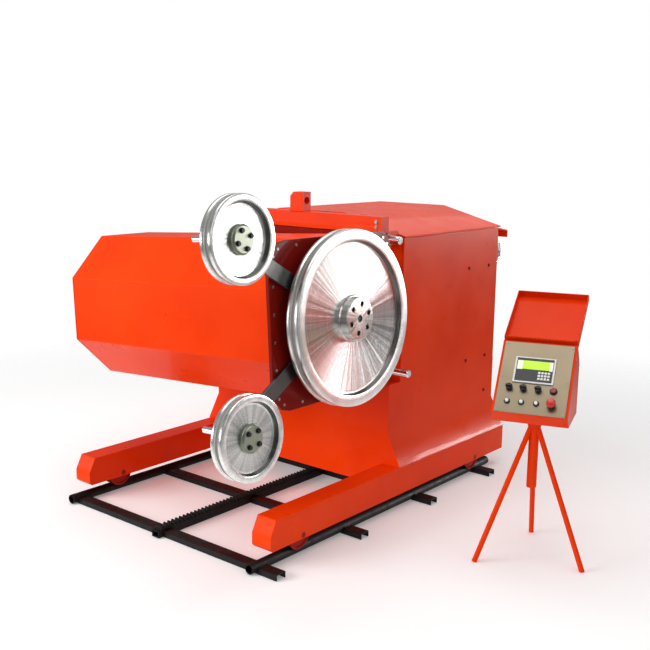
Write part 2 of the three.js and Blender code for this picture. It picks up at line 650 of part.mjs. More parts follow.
// ---------------------------------------------------------------- control console
// Console-local axes: X to the operator's right, -Y towards the operator, Z up from the ground.
const consoleStand = new THREE.Group();
consoleStand.position.set(CONSOLE.x, CONSOLE.y, 0);
consoleStand.rotation.z = THREE.MathUtils.degToRad(CONSOLE.turnDegrees);
group.add(consoleStand);

function tripodGeometry() {
  const { legRadius, legSpread, postRadius, postBottom, bottom } = CONSOLE;
  const top = bottom - GAP;
  const post = new THREE.CylinderGeometry(postRadius, postRadius, top - postBottom, 16)
    .rotateX(Math.PI / 2).translate(0, 0, (top + postBottom) / 2);
  const topPlate = box([-60, 60], [-60, 60], [top - 8, top]);
  const legs = [220, 339, 96].map((degrees) => {
    const angle = THREE.MathUtils.degToRad(degrees);
    const direction = new THREE.Vector3(Math.cos(angle), Math.sin(angle), 0);
    const foot = direction.clone().multiplyScalar(legSpread);
    return barBetween(foot, direction.clone().multiplyScalar(8).setZ(top - 20), legRadius);
  });
  const ground = box([-600, 600], [-600, 600], [-60, 0]);
  return combine(post, { add: [topPlate, ...legs], cut: [ground] });
}

// Controls stand in two rows of four on the panel; their stems reach into a recess behind it.
const COLUMNS = [-103, -41, 24, 90];
const ROWS = { lower: 56, upper: 123 };
const FACE = 3.5;
const STEM_DEPTH = 10;
const STEM_RADIUS = 8;
const BUTTON_LIFT = 5;

const slopeLength = Math.hypot(CONSOLE.frontDepth - CONSOLE.topDepth,
  CONSOLE.panelTop - CONSOLE.panelBottom);
const slopeLean = Math.atan2(CONSOLE.frontDepth - CONSOLE.topDepth,
  CONSOLE.panelTop - CONSOLE.panelBottom);

// Panel-local axes: X across, Y up the slope from its lower edge, Z straight out of the panel.
const slope = new THREE.Group();
slope.position.set(0, -CONSOLE.frontDepth, CONSOLE.panelBottom);
slope.rotation.x = Math.PI / 2 - slopeLean;
consoleStand.add(slope);

function consoleBoxGeometry() {
  const { frontDepth, topDepth, backDepth, lipDepth, bottom, backTop } = CONSOLE;
  const { panelBottom, panelTop, width } = CONSOLE;
  const outline = [[-lipDepth, bottom], [-backDepth, bottom], [-backDepth, backTop],
    [-topDepth + 16, panelTop - 5], [-topDepth + 3, panelTop + 6], [-topDepth, panelTop],
    [-frontDepth, panelBottom]];
  const body = extrudeX(shapeOf(outline), -width / 2, width / 2);
  const recess = box([COLUMNS[0] - 20, COLUMNS[3] + 22], [ROWS.lower - 22, ROWS.upper + 18],
    [-STEM_DEPTH - 8, 20]);
  slope.updateMatrix();
  return combine(body, { cut: [recess.applyMatrix4(slope.matrix)] });
}

function rodZ(radius, z0, z1, x, y, segments = 20) {
  return new THREE.CylinderGeometry(radius, radius, z1 - z0, segments)
    .rotateX(Math.PI / 2).translate(x, y, (z0 + z1) / 2);
}

// The sheet is drilled where a pushed control's stem passes through.
function panelGeometry() {
  const margin = 12;
  const half = CONSOLE.width / 2 - margin;
  const sheet = box([-half, half], [2, slopeLength - 2], [GAP, FACE]);
  const spots = [...COLUMNS.map((x) => [x, ROWS.lower]), [COLUMNS[3], ROWS.upper]];
  const holes = spots.map(([x, y]) => rodZ(STEM_RADIUS + 1, -5, 10, x, y, 12));
  return combine(sheet, { cut: holes });
}

function knobGeometry(x, y) {
  const knob = rodZ(17, FACE + GAP, 26, x, y);
  return combine(knob, { add: [box([x - 5, x + 5], [y - 17, y + 17], [20, 33])] });
}

// A pushed control: a cap on a stem, standing clear of the panel by its travel.
function buttonGeometry(x, y, radius, top) {
  const stem = rodZ(STEM_RADIUS, -STEM_DEPTH, FACE + BUTTON_LIFT + 1, x, y, 12);
  return combine(stem, { add: [rodZ(radius, FACE + BUTTON_LIFT, top, x, y)] });
}

function displayGeometry() {
  return box([-95, 84], [151, 279], [FACE + GAP, FACE + 9]);
}

function emergencyStopGeometry(x, y) {
  return combine(buttonGeometry(x, y, 13, 26), { add: [rodZ(21, 24, 40, x, y)] });
}

// Lid-local axes: the hinge line is X, and Y runs up the open lid.
const lid = new THREE.Group();
lid.position.set(0, slopeLength + 19, 12);
lid.rotation.x = -THREE.MathUtils.degToRad(CONSOLE.lidLean);
slope.add(lid);

// The lid is a shallow tray, open on the side that faces the panel when shut.
function lidGeometry() {
  const { width, lidLength, lidDepth, lidSheet } = CONSOLE;
  const half = width / 2;
  const start = 5;
  const tray = box([-half, half], [start, start + lidLength], [-lidDepth - 2, -2]);
  const hollow = box([-half + lidSheet, half - lidSheet],
    [start + lidSheet, start + lidLength - lidSheet], [-lidDepth - 2 + lidSheet, 10]);
  return combine(tray, { cut: [hollow] });
}

function buildConsole() {
  addMesh(consoleStand, 'console_tripod', tripodGeometry(), ORANGE);
  addMesh(consoleStand, 'console_box', consoleBoxGeometry(), ORANGE);
  addMesh(slope, 'console_panel', panelGeometry(), PANEL);
  addMesh(slope, 'console_display', displayGeometry(), SCREEN);
  addMesh(lid, 'console_lid', lidGeometry(), ORANGE);
  for (let i = 0; i < 3; i += 1) {
    addMesh(slope, `selector_knob_${i + 1}`, knobGeometry(COLUMNS[i], ROWS.upper), DARK_PLASTIC);
    addMesh(slope, `push_button_${i + 1}`,
      buttonGeometry(COLUMNS[i], ROWS.lower, 13, 18), POLISHED);
  }
  addMesh(slope, 'stop_button', buttonGeometry(COLUMNS[3], ROWS.upper, 14, 18), RED_PLASTIC);
  addMesh(slope, 'emergency_stop', emergencyStopGeometry(COLUMNS[3], ROWS.lower), RED_PLASTIC);
}

buildTrack();
buildTrucks();
buildPedestal();
buildCabinet();
buildSlide();
buildHead();
buildWheels();
buildConsole();

export default group;
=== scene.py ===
"""Looks for the rail-mounted diamond wire saw and its tripod console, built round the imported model.

Metres, +Z up. X runs across the track and +Y back along it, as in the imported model.
"""

import json
import random
from math import cos, dist, pi, radians, sin

import bmesh
import bpy
from mathutils import Matrix, Vector, noise


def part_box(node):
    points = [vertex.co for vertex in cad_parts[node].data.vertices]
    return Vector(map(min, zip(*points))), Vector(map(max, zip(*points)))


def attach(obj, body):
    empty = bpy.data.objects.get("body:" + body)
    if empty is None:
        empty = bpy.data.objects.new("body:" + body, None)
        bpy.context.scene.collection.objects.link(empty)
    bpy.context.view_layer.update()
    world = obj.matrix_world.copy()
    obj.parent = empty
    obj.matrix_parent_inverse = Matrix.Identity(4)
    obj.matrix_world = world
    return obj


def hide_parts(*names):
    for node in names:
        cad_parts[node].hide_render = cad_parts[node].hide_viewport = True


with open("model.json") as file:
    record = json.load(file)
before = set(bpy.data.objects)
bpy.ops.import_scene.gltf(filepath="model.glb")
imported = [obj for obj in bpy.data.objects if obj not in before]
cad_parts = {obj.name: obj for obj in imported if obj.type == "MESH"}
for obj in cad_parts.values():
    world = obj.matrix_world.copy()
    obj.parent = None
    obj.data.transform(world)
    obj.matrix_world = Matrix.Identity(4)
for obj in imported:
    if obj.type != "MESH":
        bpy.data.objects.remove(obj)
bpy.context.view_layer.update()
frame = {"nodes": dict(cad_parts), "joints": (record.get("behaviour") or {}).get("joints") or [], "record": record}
RECORD = frame["record"]
JOINTS = {j["name"]: j for j in frame["joints"]}
BODY_OF = {n: body for body, nodes in RECORD["behaviour"]["bodies"].items() for n in nodes}
SLOT_OF = {row["node"]: row["material_slot"] for row in RECORD["subparts"]}
RNG = random.Random(7)


# ---- places taken from the frame
def frame_from(origin, x_axis, y_axis):
    """A right-handed frame with that X axis, and its Y axis as near as possible to the given one."""
    x = Vector(x_axis).normalized()
    z = x.cross(Vector(y_axis)).normalized()
    y = z.cross(x)
    made = Matrix((x, y, z)).transposed().to_4x4()
    made.translation = origin
    return made


def along_x(centre, direction, spin=0.0):
    """A frame whose X axis points along a direction."""
    direction = Vector(direction).normalized()
    helper = (0, 0, 1) if abs(direction.z) < 0.9 else (0, 1, 0)
    made = frame_from(centre, direction, Vector(helper).cross(direction))
    return made @ Matrix.Rotation(spin, 4, "X")


def upright(x, y, z):
    """A frame whose X axis points straight up."""
    return frame_from((x, y, z), (0, 0, 1), (0, 1, 0))


def extent(points):
    """The lowest and highest corners of a set of points."""
    low = Vector([min(p[i] for p in points) for i in range(3)])
    high = Vector([max(p[i] for p in points) for i in range(3)])
    return low, high


def local_box(node, placed):
    """A CAD node's lowest and highest corners in another frame."""
    back = placed.inverted()
    return extent([back @ v.co for v in frame["nodes"][node].data.vertices])


def joint_place(name):
    return Vector(JOINTS[name]["pos_m"])


def joint_axis(name):
    return Vector(JOINTS[name]["axis"])


# The head's frame: X along the flywheel's axis, origin abreast of the head's swivel.
SPIN_AXIS = joint_axis("flywheel_spin")
SPIN_AT = joint_place("flywheel_spin")
HEAD = frame_from(SPIN_AT - SPIN_AXIS * (SPIN_AT - joint_place("head_swivel")).dot(SPIN_AXIS),
                  SPIN_AXIS, (0, 1, 0))

# The panel's frame: X across the console, Y up its sloping panel and Z = 0 on the panel's face.
CONSOLE_X = joint_axis("lid_fold")
PANEL_OUT = -joint_axis("button_1_press")
PANEL = frame_from(joint_place("knob_1_turn"), CONSOLE_X, PANEL_OUT.cross(CONSOLE_X))
PANEL.translation += PANEL_OUT * local_box("console_panel", PANEL)[1].z


# ---- materials
MATERIALS = {}


def fill(tree, node, inputs):
    """Links each of a node's inputs, or gives it a constant."""
    for key, value in inputs.items():
        if isinstance(value, bpy.types.NodeSocket):
            tree.links.new(value, node.inputs[key])
        else:
            node.inputs[key].default_value = value


def add_node(tree, kind, settings=None, inputs=None):
    made = tree.nodes.new(kind)
    for key, value in (settings or {}).items():
        setattr(made, key, value)
    fill(tree, made, inputs or {})
    return made


def shader(name):
    """Adds a material to MATERIALS, and returns its node tree and its shader."""
    material = bpy.data.materials.new(name)
    material.use_nodes = True
    MATERIALS[name] = material
    return material.node_tree, material.node_tree.nodes["Principled BSDF"]


def object_coordinates(tree):
    return add_node(tree, "ShaderNodeTexCoord").outputs["Object"]


def height_of(tree, vector):
    return add_node(tree, "ShaderNodeSeparateXYZ", inputs={"Vector": vector}).outputs["Z"]


def noise_of(tree, vector, scale, detail=3.0, roughness=0.55):
    return add_node(tree, "ShaderNodeTexNoise", inputs={
        "Vector": vector, "Scale": scale, "Detail": detail, "Roughness": roughness}).outputs["Fac"]


def noise_along(tree, value, scale, detail):
    return add_node(tree, "ShaderNodeTexNoise", {"noise_dimensions": "1D"}, {
        "W": value, "Scale": scale, "Detail": detail}).outputs["Fac"]


def mapped(tree, value, low, high, out_low, out_high):
    return add_node(tree, "ShaderNodeMapRange", inputs={
        "Value": value, "From Min": low, "From Max": high,
        "To Min": out_low, "To Max": out_high}).outputs["Result"]


def product(tree, first, second):
    return add_node(tree, "ShaderNodeMath", {"operation": "MULTIPLY"}, {0: first, 1: second}).outputs[0]


def vector_math(tree, operation, *vectors):
    made = add_node(tree, "ShaderNodeVectorMath", {"operation": operation}, dict(enumerate(vectors)))
    gives_number = operation in ("LENGTH", "DISTANCE", "DOT_PRODUCT")
    return made.outputs["Value" if gives_number else "Vector"]


def mixed(tree, factor, first, second):
    first, second = [(*c, 1) if isinstance(c, tuple) else c for c in (first, second)]
    inputs = {0: factor, 6: first, 7: second}
    return add_node(tree, "ShaderNodeMix", {"data_type": "RGBA"}, inputs).outputs[2]


def bumped(tree, height, strength, distance, **normal):
    inputs = {"Height": height, "Strength": strength, "Distance": distance, **normal}
    return add_node(tree, "ShaderNodeBump", inputs=inputs).outputs["Normal"]


def edge_mask(tree, radius):
    """1 along edges and 0 on flat faces, from how far a rounded normal leans from the true one."""
    rounded = add_node(tree, "ShaderNodeBevel", {"samples": 4}, {"Radius": radius}).outputs["Normal"]
    true = add_node(tree, "ShaderNodeNewGeometry").outputs["Normal"]
    return mapped(tree, vector_math(tree, "DOT_PRODUCT", rounded, true), 0.995, 0.90, 0.0, 1.0)


def toned(colour, share, lift=0.0):
    """A colour made darker or lighter."""
    return tuple(min(1.0, c * share + lift) for c in colour)


def enamel(name, colour, deep, coat, gloss=0.30):
    """Sprayed machine enamel: orange peel, slight colour drift, rubbed edges and dust near the floor."""
    tree, bsdf = shader(name)
    place = object_coordinates(tree)
    drift = mapped(tree, noise_of(tree, place, 1.7), 0.35, 0.65, 0.0, 1.0)
    smear = mapped(tree, noise_of(tree, place, 9.0, 6.0, 0.65), 0.55, 0.75, 0.0, 0.12)
    near_floor = mapped(tree, height_of(tree, place), 0.45, 0.03, 0.0, 1.0)
    dusty = mixed(tree, product(tree, smear, near_floor), mixed(tree, drift, deep, colour),
                  (0.30, 0.22, 0.17))
    scuff = mapped(tree, noise_of(tree, place, 60.0, 5.0, 0.7), 0.60, 0.72, 0.0, 0.5)
    rubbed = product(tree, scuff, edge_mask(tree, 0.004))
    waves = bumped(tree, noise_of(tree, place, 14.0, 1.0), 0.10, 0.002)
    fill(tree, bsdf, {
        "Base Color": mixed(tree, rubbed, dusty, toned(colour, 0.6, 0.10)),
        "Roughness": mapped(tree, noise_of(tree, place, 5.0, 4.0), 0.3, 0.7, gloss - 0.05, gloss + 0.09),
        "Normal": bumped(tree, noise_of(tree, place, 260.0, 2.0), 0.05, 0.0006, Normal=waves),
        "Coat Weight": coat, "Coat Roughness": 0.06, "Coat IOR": 1.30, "Specular IOR Level": 0.05})


def rolled_black(name, colour, rust, rust_amount, roughness=0.42):
    """Black paint on mill-finish sections, rubbed brown in patches."""
    tree, bsdf = shader(name)
    place = object_coordinates(tree)
    patches = mapped(tree, noise_of(tree, place, 6.0, 7.0, 0.7), 0.52, 0.70, 0.0, rust_amount)
    uneven = noise_of(tree, place, 24.0, 5.0)
    fill(tree, bsdf, {
        "Base Color": mixed(tree, patches, colour, rust),
        "Roughness": mapped(tree, uneven, 0.3, 0.7, roughness - 0.08, roughness + 0.14),
        "Normal": bumped(tree, noise_of(tree, place, 130.0, 4.0), 0.25, 0.0012),
        "Specular IOR Level": 0.25})


def turned_steel(name, colour, roughness, groove_scale, anisotropy, stain=0.25, wave_and_painted_streaks=0.12, streaks=2.6):
    """Lathe-turned steel: fine rings about the piece's own X axis, a radial wave in its bump, and painted
    reflection streaks that darken its colour by angle round the axis.
    """
    tree, bsdf = shader(name)
    place = object_coordinates(tree)
    off_axis = vector_math(tree, "MULTIPLY", place, (0, 1, 1))
    radius = vector_math(tree, "LENGTH", off_axis)
    around = vector_math(tree, "NORMALIZE", off_axis)
    rings = noise_along(tree, radius, groove_scale, 3.0)
    bands = noise_along(tree, radius, groove_scale * 0.08, 2.0)
    handled = mapped(tree, noise_of(tree, place, 7.0, 5.0, 0.6), 0.45, 0.75, 0.0, stain)
    banded = mixed(tree, mapped(tree, bands, 0.3, 0.7, 0.0, 0.35),
                   mixed(tree, handled, colour, toned(colour, 0.72)), toned(colour, 0.86))
    # Painted reflection: the colour darkens in streaks by angle round the axis, standing in for the radial
    # highlights of polished steel.
    painted_ray_streaks = mapped(tree, noise_of(tree, around, streaks * 2, 5.0, 0.7), 0.42, 0.62, 0.0, wave_and_painted_streaks * 5.5)
    waves = bumped(tree, noise_of(tree, around, streaks, 3.0, 0.6), wave_and_painted_streaks, 0.01)
    tangent = add_node(tree, "ShaderNodeTangent", {"direction_type": "RADIAL", "axis": "X"})
    fill(tree, bsdf, {
        "Base Color": mixed(tree, painted_ray_streaks, banded, toned(colour, 0.35)),
        "Roughness": mapped(tree, rings, 0.25, 0.75, roughness - 0.05, roughness + 0.07),
        "Normal": bumped(tree, rings, 0.10, 0.0004, Normal=waves),
        "Tangent": tangent.outputs["Tangent"],
        "Metallic": 1.0, "Anisotropic": anisotropy, "Anisotropic Rotation": 0.25})


def machined(name, colour, roughness, grain=(1, 1, 1), scale=90.0, metal=1.0, bump=0.12):
    """Plain machined or cast metal with a fine grain, stretched where one direction is finer."""
    tree, bsdf = shader(name)
    place = object_coordinates(tree)
    fine = noise_of(tree, vector_math(tree, "MULTIPLY", place, grain), scale, 4.0, 0.65)
    broad = mapped(tree, noise_of(tree, place, 8.0, 5.0), 0.35, 0.7, 0.0, 0.5)
    tone = mixed(tree, broad, colour, toned(colour, 0.74))
    fill(tree, bsdf, {
        "Base Color": mixed(tree, mapped(tree, fine, 0.3, 0.7, 0.0, 0.3), tone, toned(colour, 1.25)),
        "Roughness": mapped(tree, fine, 0.3, 0.7, roughness - 0.06, roughness + 0.09),
        "Normal": bumped(tree, fine, bump, 0.0005),
        "Metallic": metal})


def moulded(name, colour, roughness=0.35, coat=0.0):
    """Moulded plastic with a fine even grain."""
    tree, bsdf = shader(name)
    place = object_coordinates(tree)
    grain = noise_of(tree, place, 700.0, 2.0)
    fill(tree, bsdf, {
        "Base Color": mixed(tree, noise_of(tree, place, 30.0), colour, toned(colour, 1.12, 0.004)),
        "Roughness": mapped(tree, grain, 0.3, 0.7, roughness - 0.04, roughness + 0.05),
        "Normal": bumped(tree, grain, 0.06, 0.0002),
        "Coat Weight": coat})


def lit_display(name, colour, glow):
    """A backlit display band, a little uneven across its width."""
    tree, bsdf = shader(name)
    uneven = mapped(tree, noise_of(tree, object_coordinates(tree), 18.0, 1.0), 0.3, 0.7, 0.0, 0.5)
    shade = mixed(tree, uneven, colour, toned(colour, 1.2, 0.05))
    fill(tree, bsdf, {"Base Color": shade, "Emission Color": shade, "Emission Strength": glow,
                      "Roughness": 0.25})


enamel("orange_paint", (0.90, 0.054, 0.002), (0.80, 0.039, 0.0015), 0.14)
enamel("dark_red_paint", (0.26, 0.010, 0.006), (0.19, 0.007, 0.004), 0.4, 0.34)
enamel("wheel_paint", (0.36, 0.015, 0.006), (0.28, 0.011, 0.005), 0.3, 0.36)
rolled_black("black_paint", (0.0045, 0.0045, 0.005), (0.020, 0.009, 0.006), 0.7)
rolled_black("rail_black", (0.0035, 0.0035, 0.004), (0.012, 0.007, 0.005), 0.4, 0.55)
turned_steel("polished_steel", (0.90, 0.89, 0.87), 0.22, 900.0, 0.80, streaks=6.5)
turned_steel("pulley_steel", (0.72, 0.72, 0.70), 0.26, 900.0, 0.60, 0.15, 0.09)
turned_steel("rim_steel", (0.90, 0.90, 0.88), 0.27, 500.0, 0.35, 0.15, 0.05)
# Near-black copy of the rim steel: painted shade for the walls inside a wheel's dish.
turned_steel("painted_shade_wall_steel", (0.15, 0.15, 0.145), 0.24, 500.0, 0.35, 0.15, 0.05)
machined("arm_steel", (0.13, 0.13, 0.125), 0.38)
turned_steel("hub_steel", (0.78, 0.77, 0.74), 0.26, 700.0, 0.45)
machined("bearing_cap", (0.33, 0.35, 0.28), 0.36, metal=0.85)
machined("chrome", (0.90, 0.90, 0.90), 0.10, (1, 14, 14), 20.0, 1.0, 0.03)
machined("machined_steel", (0.30, 0.30, 0.28), 0.36)
machined("dark_steel", (0.035, 0.035, 0.037), 0.42, metal=0.7)
machined("bolt_steel", (0.38, 0.37, 0.35), 0.34)
machined("motor_grey", (0.16, 0.175, 0.185), 0.5, scale=60.0, metal=0.25, bump=0.25)
machined("panel_steel", (0.31, 0.25, 0.17), 0.36, (0.6, 60, 60), 8.0, 1.0, 0.10)
moulded("black_plastic", (0.012, 0.012, 0.013))
moulded("liner_rubber", (0.34, 0.33, 0.31), 0.45)
moulded("red_plastic", (0.55, 0.016, 0.014), 0.25, 0.4)
moulded("dull_red_plastic", (0.24, 0.014, 0.014), 0.3, 0.3)
moulded("white_plastic", (0.78, 0.78, 0.74), 0.3)
moulded("screen", (0.010, 0.012, 0.012), 0.16)
lit_display("display_band", (0.46, 0.80, 0.02), 0.35)
lit_display("display_white", (0.80, 0.85, 0.66), 0.25)


def in_scene(name, data):
    made = bpy.data.objects.new(name, data)
    bpy.context.scene.collection.objects.link(made)
    return made


def piece_from(name, builder, placed=None, smooth_degrees=35):
    """A new piece from a bmesh, drawn in the frame `placed`."""
    mesh = bpy.data.meshes.new(name)
    bmesh.ops.recalc_face_normals(builder, faces=builder.faces)
    builder.to_mesh(mesh)
    builder.free()
    mesh.shade_smooth()
    mesh.set_sharp_from_angle(angle=radians(smooth_degrees))
    piece = in_scene(name, mesh)
    if placed is not None:
        piece.matrix_world = placed
    bpy.context.view_layer.update()
    return piece


def painted(piece, material):
    piece.data.materials.clear()
    piece.data.materials.append(MATERIALS[material])


def finished(piece, body, material):
    """Gives a piece its material, and makes it ride on a body."""
    painted(piece, material)
    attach(piece, body)
    return piece


def stand_in(piece, node, material=None):
    """Makes a piece stand for a CAD node on the node's body, hiding the node and painting the piece with the
    node's slot material unless another is given.
    """
    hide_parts(node)
    return finished(piece, BODY_OF[node], material or SLOT_OF[node])


def apply_modifiers(piece):
    bpy.context.view_layer.update()
    graph = bpy.context.evaluated_depsgraph_get()
    made = bpy.data.meshes.new_from_object(piece.evaluated_get(graph))
    piece.modifiers.clear()
    piece.data = made


def evenly_shaded(piece, smooth_degrees):
    """Smooth shading that keeps the big flat faces flat beside their rounded edges."""
    piece.data.shade_smooth()
    piece.data.set_sharp_from_angle(angle=radians(smooth_degrees))
    shading = piece.modifiers.new("shading", "WEIGHTED_NORMAL")
    shading.keep_sharp = True
    shading.weight = 100
    apply_modifiers(piece)


def bevelled(piece, width, segments=2, degrees=28):
    edge = piece.modifiers.new("edges", "BEVEL")
    edge.width = width
    edge.segments = segments
    edge.limit_method = "ANGLE"
    edge.angle_limit = radians(degrees)
    edge.miter_outer = "MITER_ARC"
    apply_modifiers(piece)
    evenly_shaded(piece, 42)


def cut_away(piece, builder):
    """Takes the shape in a bmesh, drawn in the piece's own frame, out of the piece."""
    cutter = piece_from("cutter", builder, piece.matrix_world)
    cut = piece.modifiers.new("cut", "BOOLEAN")
    cut.operation = "DIFFERENCE"
    cut.solver = "EXACT"
    cut.object = cutter
    apply_modifiers(piece)
    bpy.data.objects.remove(cutter)


def refined(node, width, material=None, segments=2, degrees=28):
    """Stands for a CAD node with the same shape, welded and given rounded edges."""
    builder = bmesh.new()
    builder.from_mesh(frame["nodes"][node].data)
    bmesh.ops.remove_doubles(builder, verts=builder.verts, dist=0.00002)
    bmesh.ops.dissolve_limit(builder, angle_limit=radians(0.6), verts=builder.verts, edges=builder.edges)
    piece = piece_from(f"{node}_finished", builder)
    bevelled(piece, width, segments, degrees)
    return stand_in(piece, node, material)


def circle(radius, count, start=0.0, centre=(0, 0)):
    return [(centre[0] + radius * cos(start + 2 * pi * i / count),
             centre[1] + radius * sin(start + 2 * pi * i / count)) for i in range(count)]


def join_rings(builder, first, second):
    """Faces between two rings of points; a ring of one point is a tip on the axis."""
    count = max(len(first), len(second))
    for i in range(count if count > 1 else 0):
        j = (i + 1) % count
        if len(first) == 1:
            builder.faces.new((first[0], second[i], second[j]))
        elif len(second) == 1:
            builder.faces.new((first[i], first[j], second[0]))
        else:
            builder.faces.new((first[i], first[j], second[j], second[i]))


def skin(builder, rings):
    """Joins rings of points in turn and closes both ends."""
    for first, second in zip(rings, rings[1:]):
        join_rings(builder, first, second)
    builder.faces.new(rings[0][::-1])
    builder.faces.new(rings[-1])


def turned(builder, profile, segments, placed=None):
    """Adds a closed [(x, radius)] outline turned about the X axis of a frame."""
    move = placed or Matrix.Identity(4)
    rings = []
    for x, radius in profile:
        spots = circle(radius, segments) if radius > 0 else [(0, 0)]
        rings.append([builder.verts.new(move @ Vector((x, y, z))) for y, z in spots])
    for first, second in zip(rings, rings[1:] + rings[:1]):
        join_rings(builder, first, second)


def lathe(name, placed, profile, segments):
    builder = bmesh.new()
    turned(builder, profile, segments)
    return piece_from(name, builder, placed)


def turned_stand_in(node, placed, profile, segments, material):
    return stand_in(lathe(f"{node}_turned", placed, profile, segments), node, material)


def prism(builder, outline, x0, x1, placed=None, inset=0.0):
    """Adds an outline of (y, z) points pushed from x0 to x1, its outer end drawn in by inset."""
    move = placed or Matrix.Identity(4)
    middle = [sum(p[i] for p in outline) / len(outline) for i in (0, 1)]
    size = max(dist(p, middle) for p in outline)
    levels = [(x0, 1.0), (x1 - inset, 1.0), (x1, 1.0 - inset / size)] if inset else [(x0, 1.0), (x1, 1.0)]
    rings = []
    for x, share in levels:
        drawn_in = [(middle[0] + (y - middle[0]) * share, middle[1] + (z - middle[1]) * share)
                    for y, z in outline]
        rings.append([builder.verts.new(move @ Vector((x, y, z))) for y, z in drawn_in])
    skin(builder, rings)


def block(builder, low, high, placed=None, inset=0.0):
    """Adds a box between two corners, its +X face drawn in by inset."""
    outline = [(low[1], low[2]), (high[1], low[2]), (high[1], high[2]), (low[1], high[2])]
    prism(builder, outline, low[0], high[0], placed, inset)


# Bolt heads as (radius, sides, foot, top, chamfer) discs, in shares of the bolt's size.
WASHER = (1.15, 20, -0.3, 0.18, 0.05)
HEX_HEAD = (WASHER, (0.95, 6, 0.1, 0.75, 0.12))
SOCKET_HEAD = (WASHER, (0.85, 24, 0.1, 1.0, 0.12), (0.42, 6, 0.9, 1.004, 0.0))


def bolts(name, body, places, size, material="bolt_steel", head=HEX_HEAD):
    """Bolt heads on washers. Each place is a point on the surface and the way out of it."""
    builder = bmesh.new()
    for point, out in places:
        placed = along_x(point, out, RNG.uniform(0, 1.0))
        for radius, sides, foot, top, chamfer in head:
            prism(builder, circle(size * radius, sides), size * foot, size * top, placed, size * chamfer)
    finished(piece_from(name, builder, smooth_degrees=30), body, material)


def on_face(placed, x, spots, way=1):
    """Bolt places at (y, z) spots on a frame's plane at x, facing along its X axis or against it."""
    out = placed.to_3x3() @ Vector((way, 0, 0))
    return [(placed @ Vector((x, y, z)), out) for y, z in spots]


def bead(name, body, start, end, radius, material="orange_paint"):
    """A weld bead from one point to another, rippled like a hand weld."""
    start, end = Vector(start), Vector(end)
    builder = bmesh.new()
    steps = max(2, int((end - start).length / (radius * 1.6)))
    rings = []
    for i in range(steps + 1):
        point = start.lerp(end, i / steps)
        placed = along_x(point, end - start)
        swell = radius * (1 + 0.14 * (i % 2) + 0.12 * noise.noise(point * 40))
        rings.append([builder.verts.new(placed @ Vector((0, y, z))) for y, z in circle(swell, 7)])
    skin(builder, rings)
    finished(piece_from(name, builder, smooth_degrees=80), body, material)


# ---- track
def build_rail(side):
    """A round rail is a tube, open at both ends."""
    node = f"rail_{side}"
    low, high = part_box(node)
    middle = (low + high) / 2
    radius = (high.x - low.x) / 2
    bore, chamfer = radius - 0.005, 0.001
    placed = frame_from((middle.x, 0, middle.z), (0, 1, 0), (1, 0, 0))
    profile = [(low.y, bore), (low.y, radius - chamfer), (low.y + chamfer, radius),
               (high.y - chamfer, radius), (high.y, radius - chamfer), (high.y, bore)]
    stand_in(lathe(f"{node}_tube", placed, profile, 56), node, "rail_black")


def build_rack_rail():
    """The rack rail's bar is hollow at its front end."""
    rack = refined("rack_rail", 0.0012, "rail_black", 1)
    low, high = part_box("rack_rail")
    bar_top = 0.038
    mouth = ((low.x + high.x) / 2, low.y, (low.z + bar_top) / 2)
    hollow = bmesh.new()
    block(hollow, (-0.020, -0.013, -0.01), (0.020, 0.013, 0.10),
          Matrix.Translation(mouth) @ Matrix.Rotation(radians(-90), 4, "X"))
    cut_away(rack, hollow)


def build_tie(number):
    """A cross tie, welded to both round rails along their edges."""
    tie = f"tie_{number}"
    refined(tie, 0.0015, "black_paint", 1)
    low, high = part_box(tie)
    top = high.z + 0.001
    for side in ("left", "right"):
        rail_low, rail_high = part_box(f"rail_{side}")
        for letter, x in (("a", rail_low.x), ("b", rail_high.x)):
            bead(f"{tie}_{side}_weld_{letter}", "track", (x, low.y + 0.008, top),
                 (x, high.y - 0.008, top), 0.004, "black_paint")


# ---- trucks and pedestal
def build_wheel(node):
    """A double-flanged wheel: dished sides, a journal each side and a round groove for the rail."""
    low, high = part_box(node)
    flange = (high.z - low.z) / 2
    reach = (high.x - low.x) / 2
    half, journal, hub = 0.034, 0.014, 0.030
    dish, chamfer = 0.006, 0.001
    groove_half, groove_foot, groove_depth = 0.0265, 0.058, 0.0125
    side = [(reach, 0), (reach, journal - chamfer), (reach - chamfer, journal), (half, journal),
            (half, hub), (half - dish, hub + 0.004), (half - dish, flange - 0.014),
            (half, flange - 0.010), (half, flange - 0.004), (half - 0.004, flange),
            (groove_half, flange - chamfer)]
    groove = []
    for i in range(13):
        angle = pi * i / 12
        groove.append((-groove_half * 0.86 * cos(angle), groove_foot + groove_depth * (1 - sin(angle))))
    profile = [(-x, radius) for x, radius in side] + groove + side[::-1]
    placed = Matrix.Translation(joint_place(f"{node}_roll"))
    turned_stand_in(node, placed, profile, 96, "wheel_paint")


def build_pedestal():
    refined("pedestal", 0.004)
    refined("travel_gearmotor", 0.004, degrees=40)
    refined("drive_pinion", 0.001, segments=1, degrees=20)
    low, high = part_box("pedestal")
    beam_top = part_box("beam_right")[1].z
    apron_foot = 0.12
    for name, sign, x in (("left", -1, low.x), ("right", 1, high.x)):
        edge = x - sign * 0.0015
        bead(f"skirt_weld_{name}", "chassis", (edge, low.y + 0.01, beam_top + 0.001),
             (edge, high.y - 0.01, beam_top + 0.001), 0.0038)
        inner = min((corner.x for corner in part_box(f"beam_{name}")), key=abs)
        bead(f"apron_weld_{name}", "chassis", (inner, low.y - 0.001, apron_foot),
             (inner, low.y - 0.001, beam_top - 0.004), 0.0038)


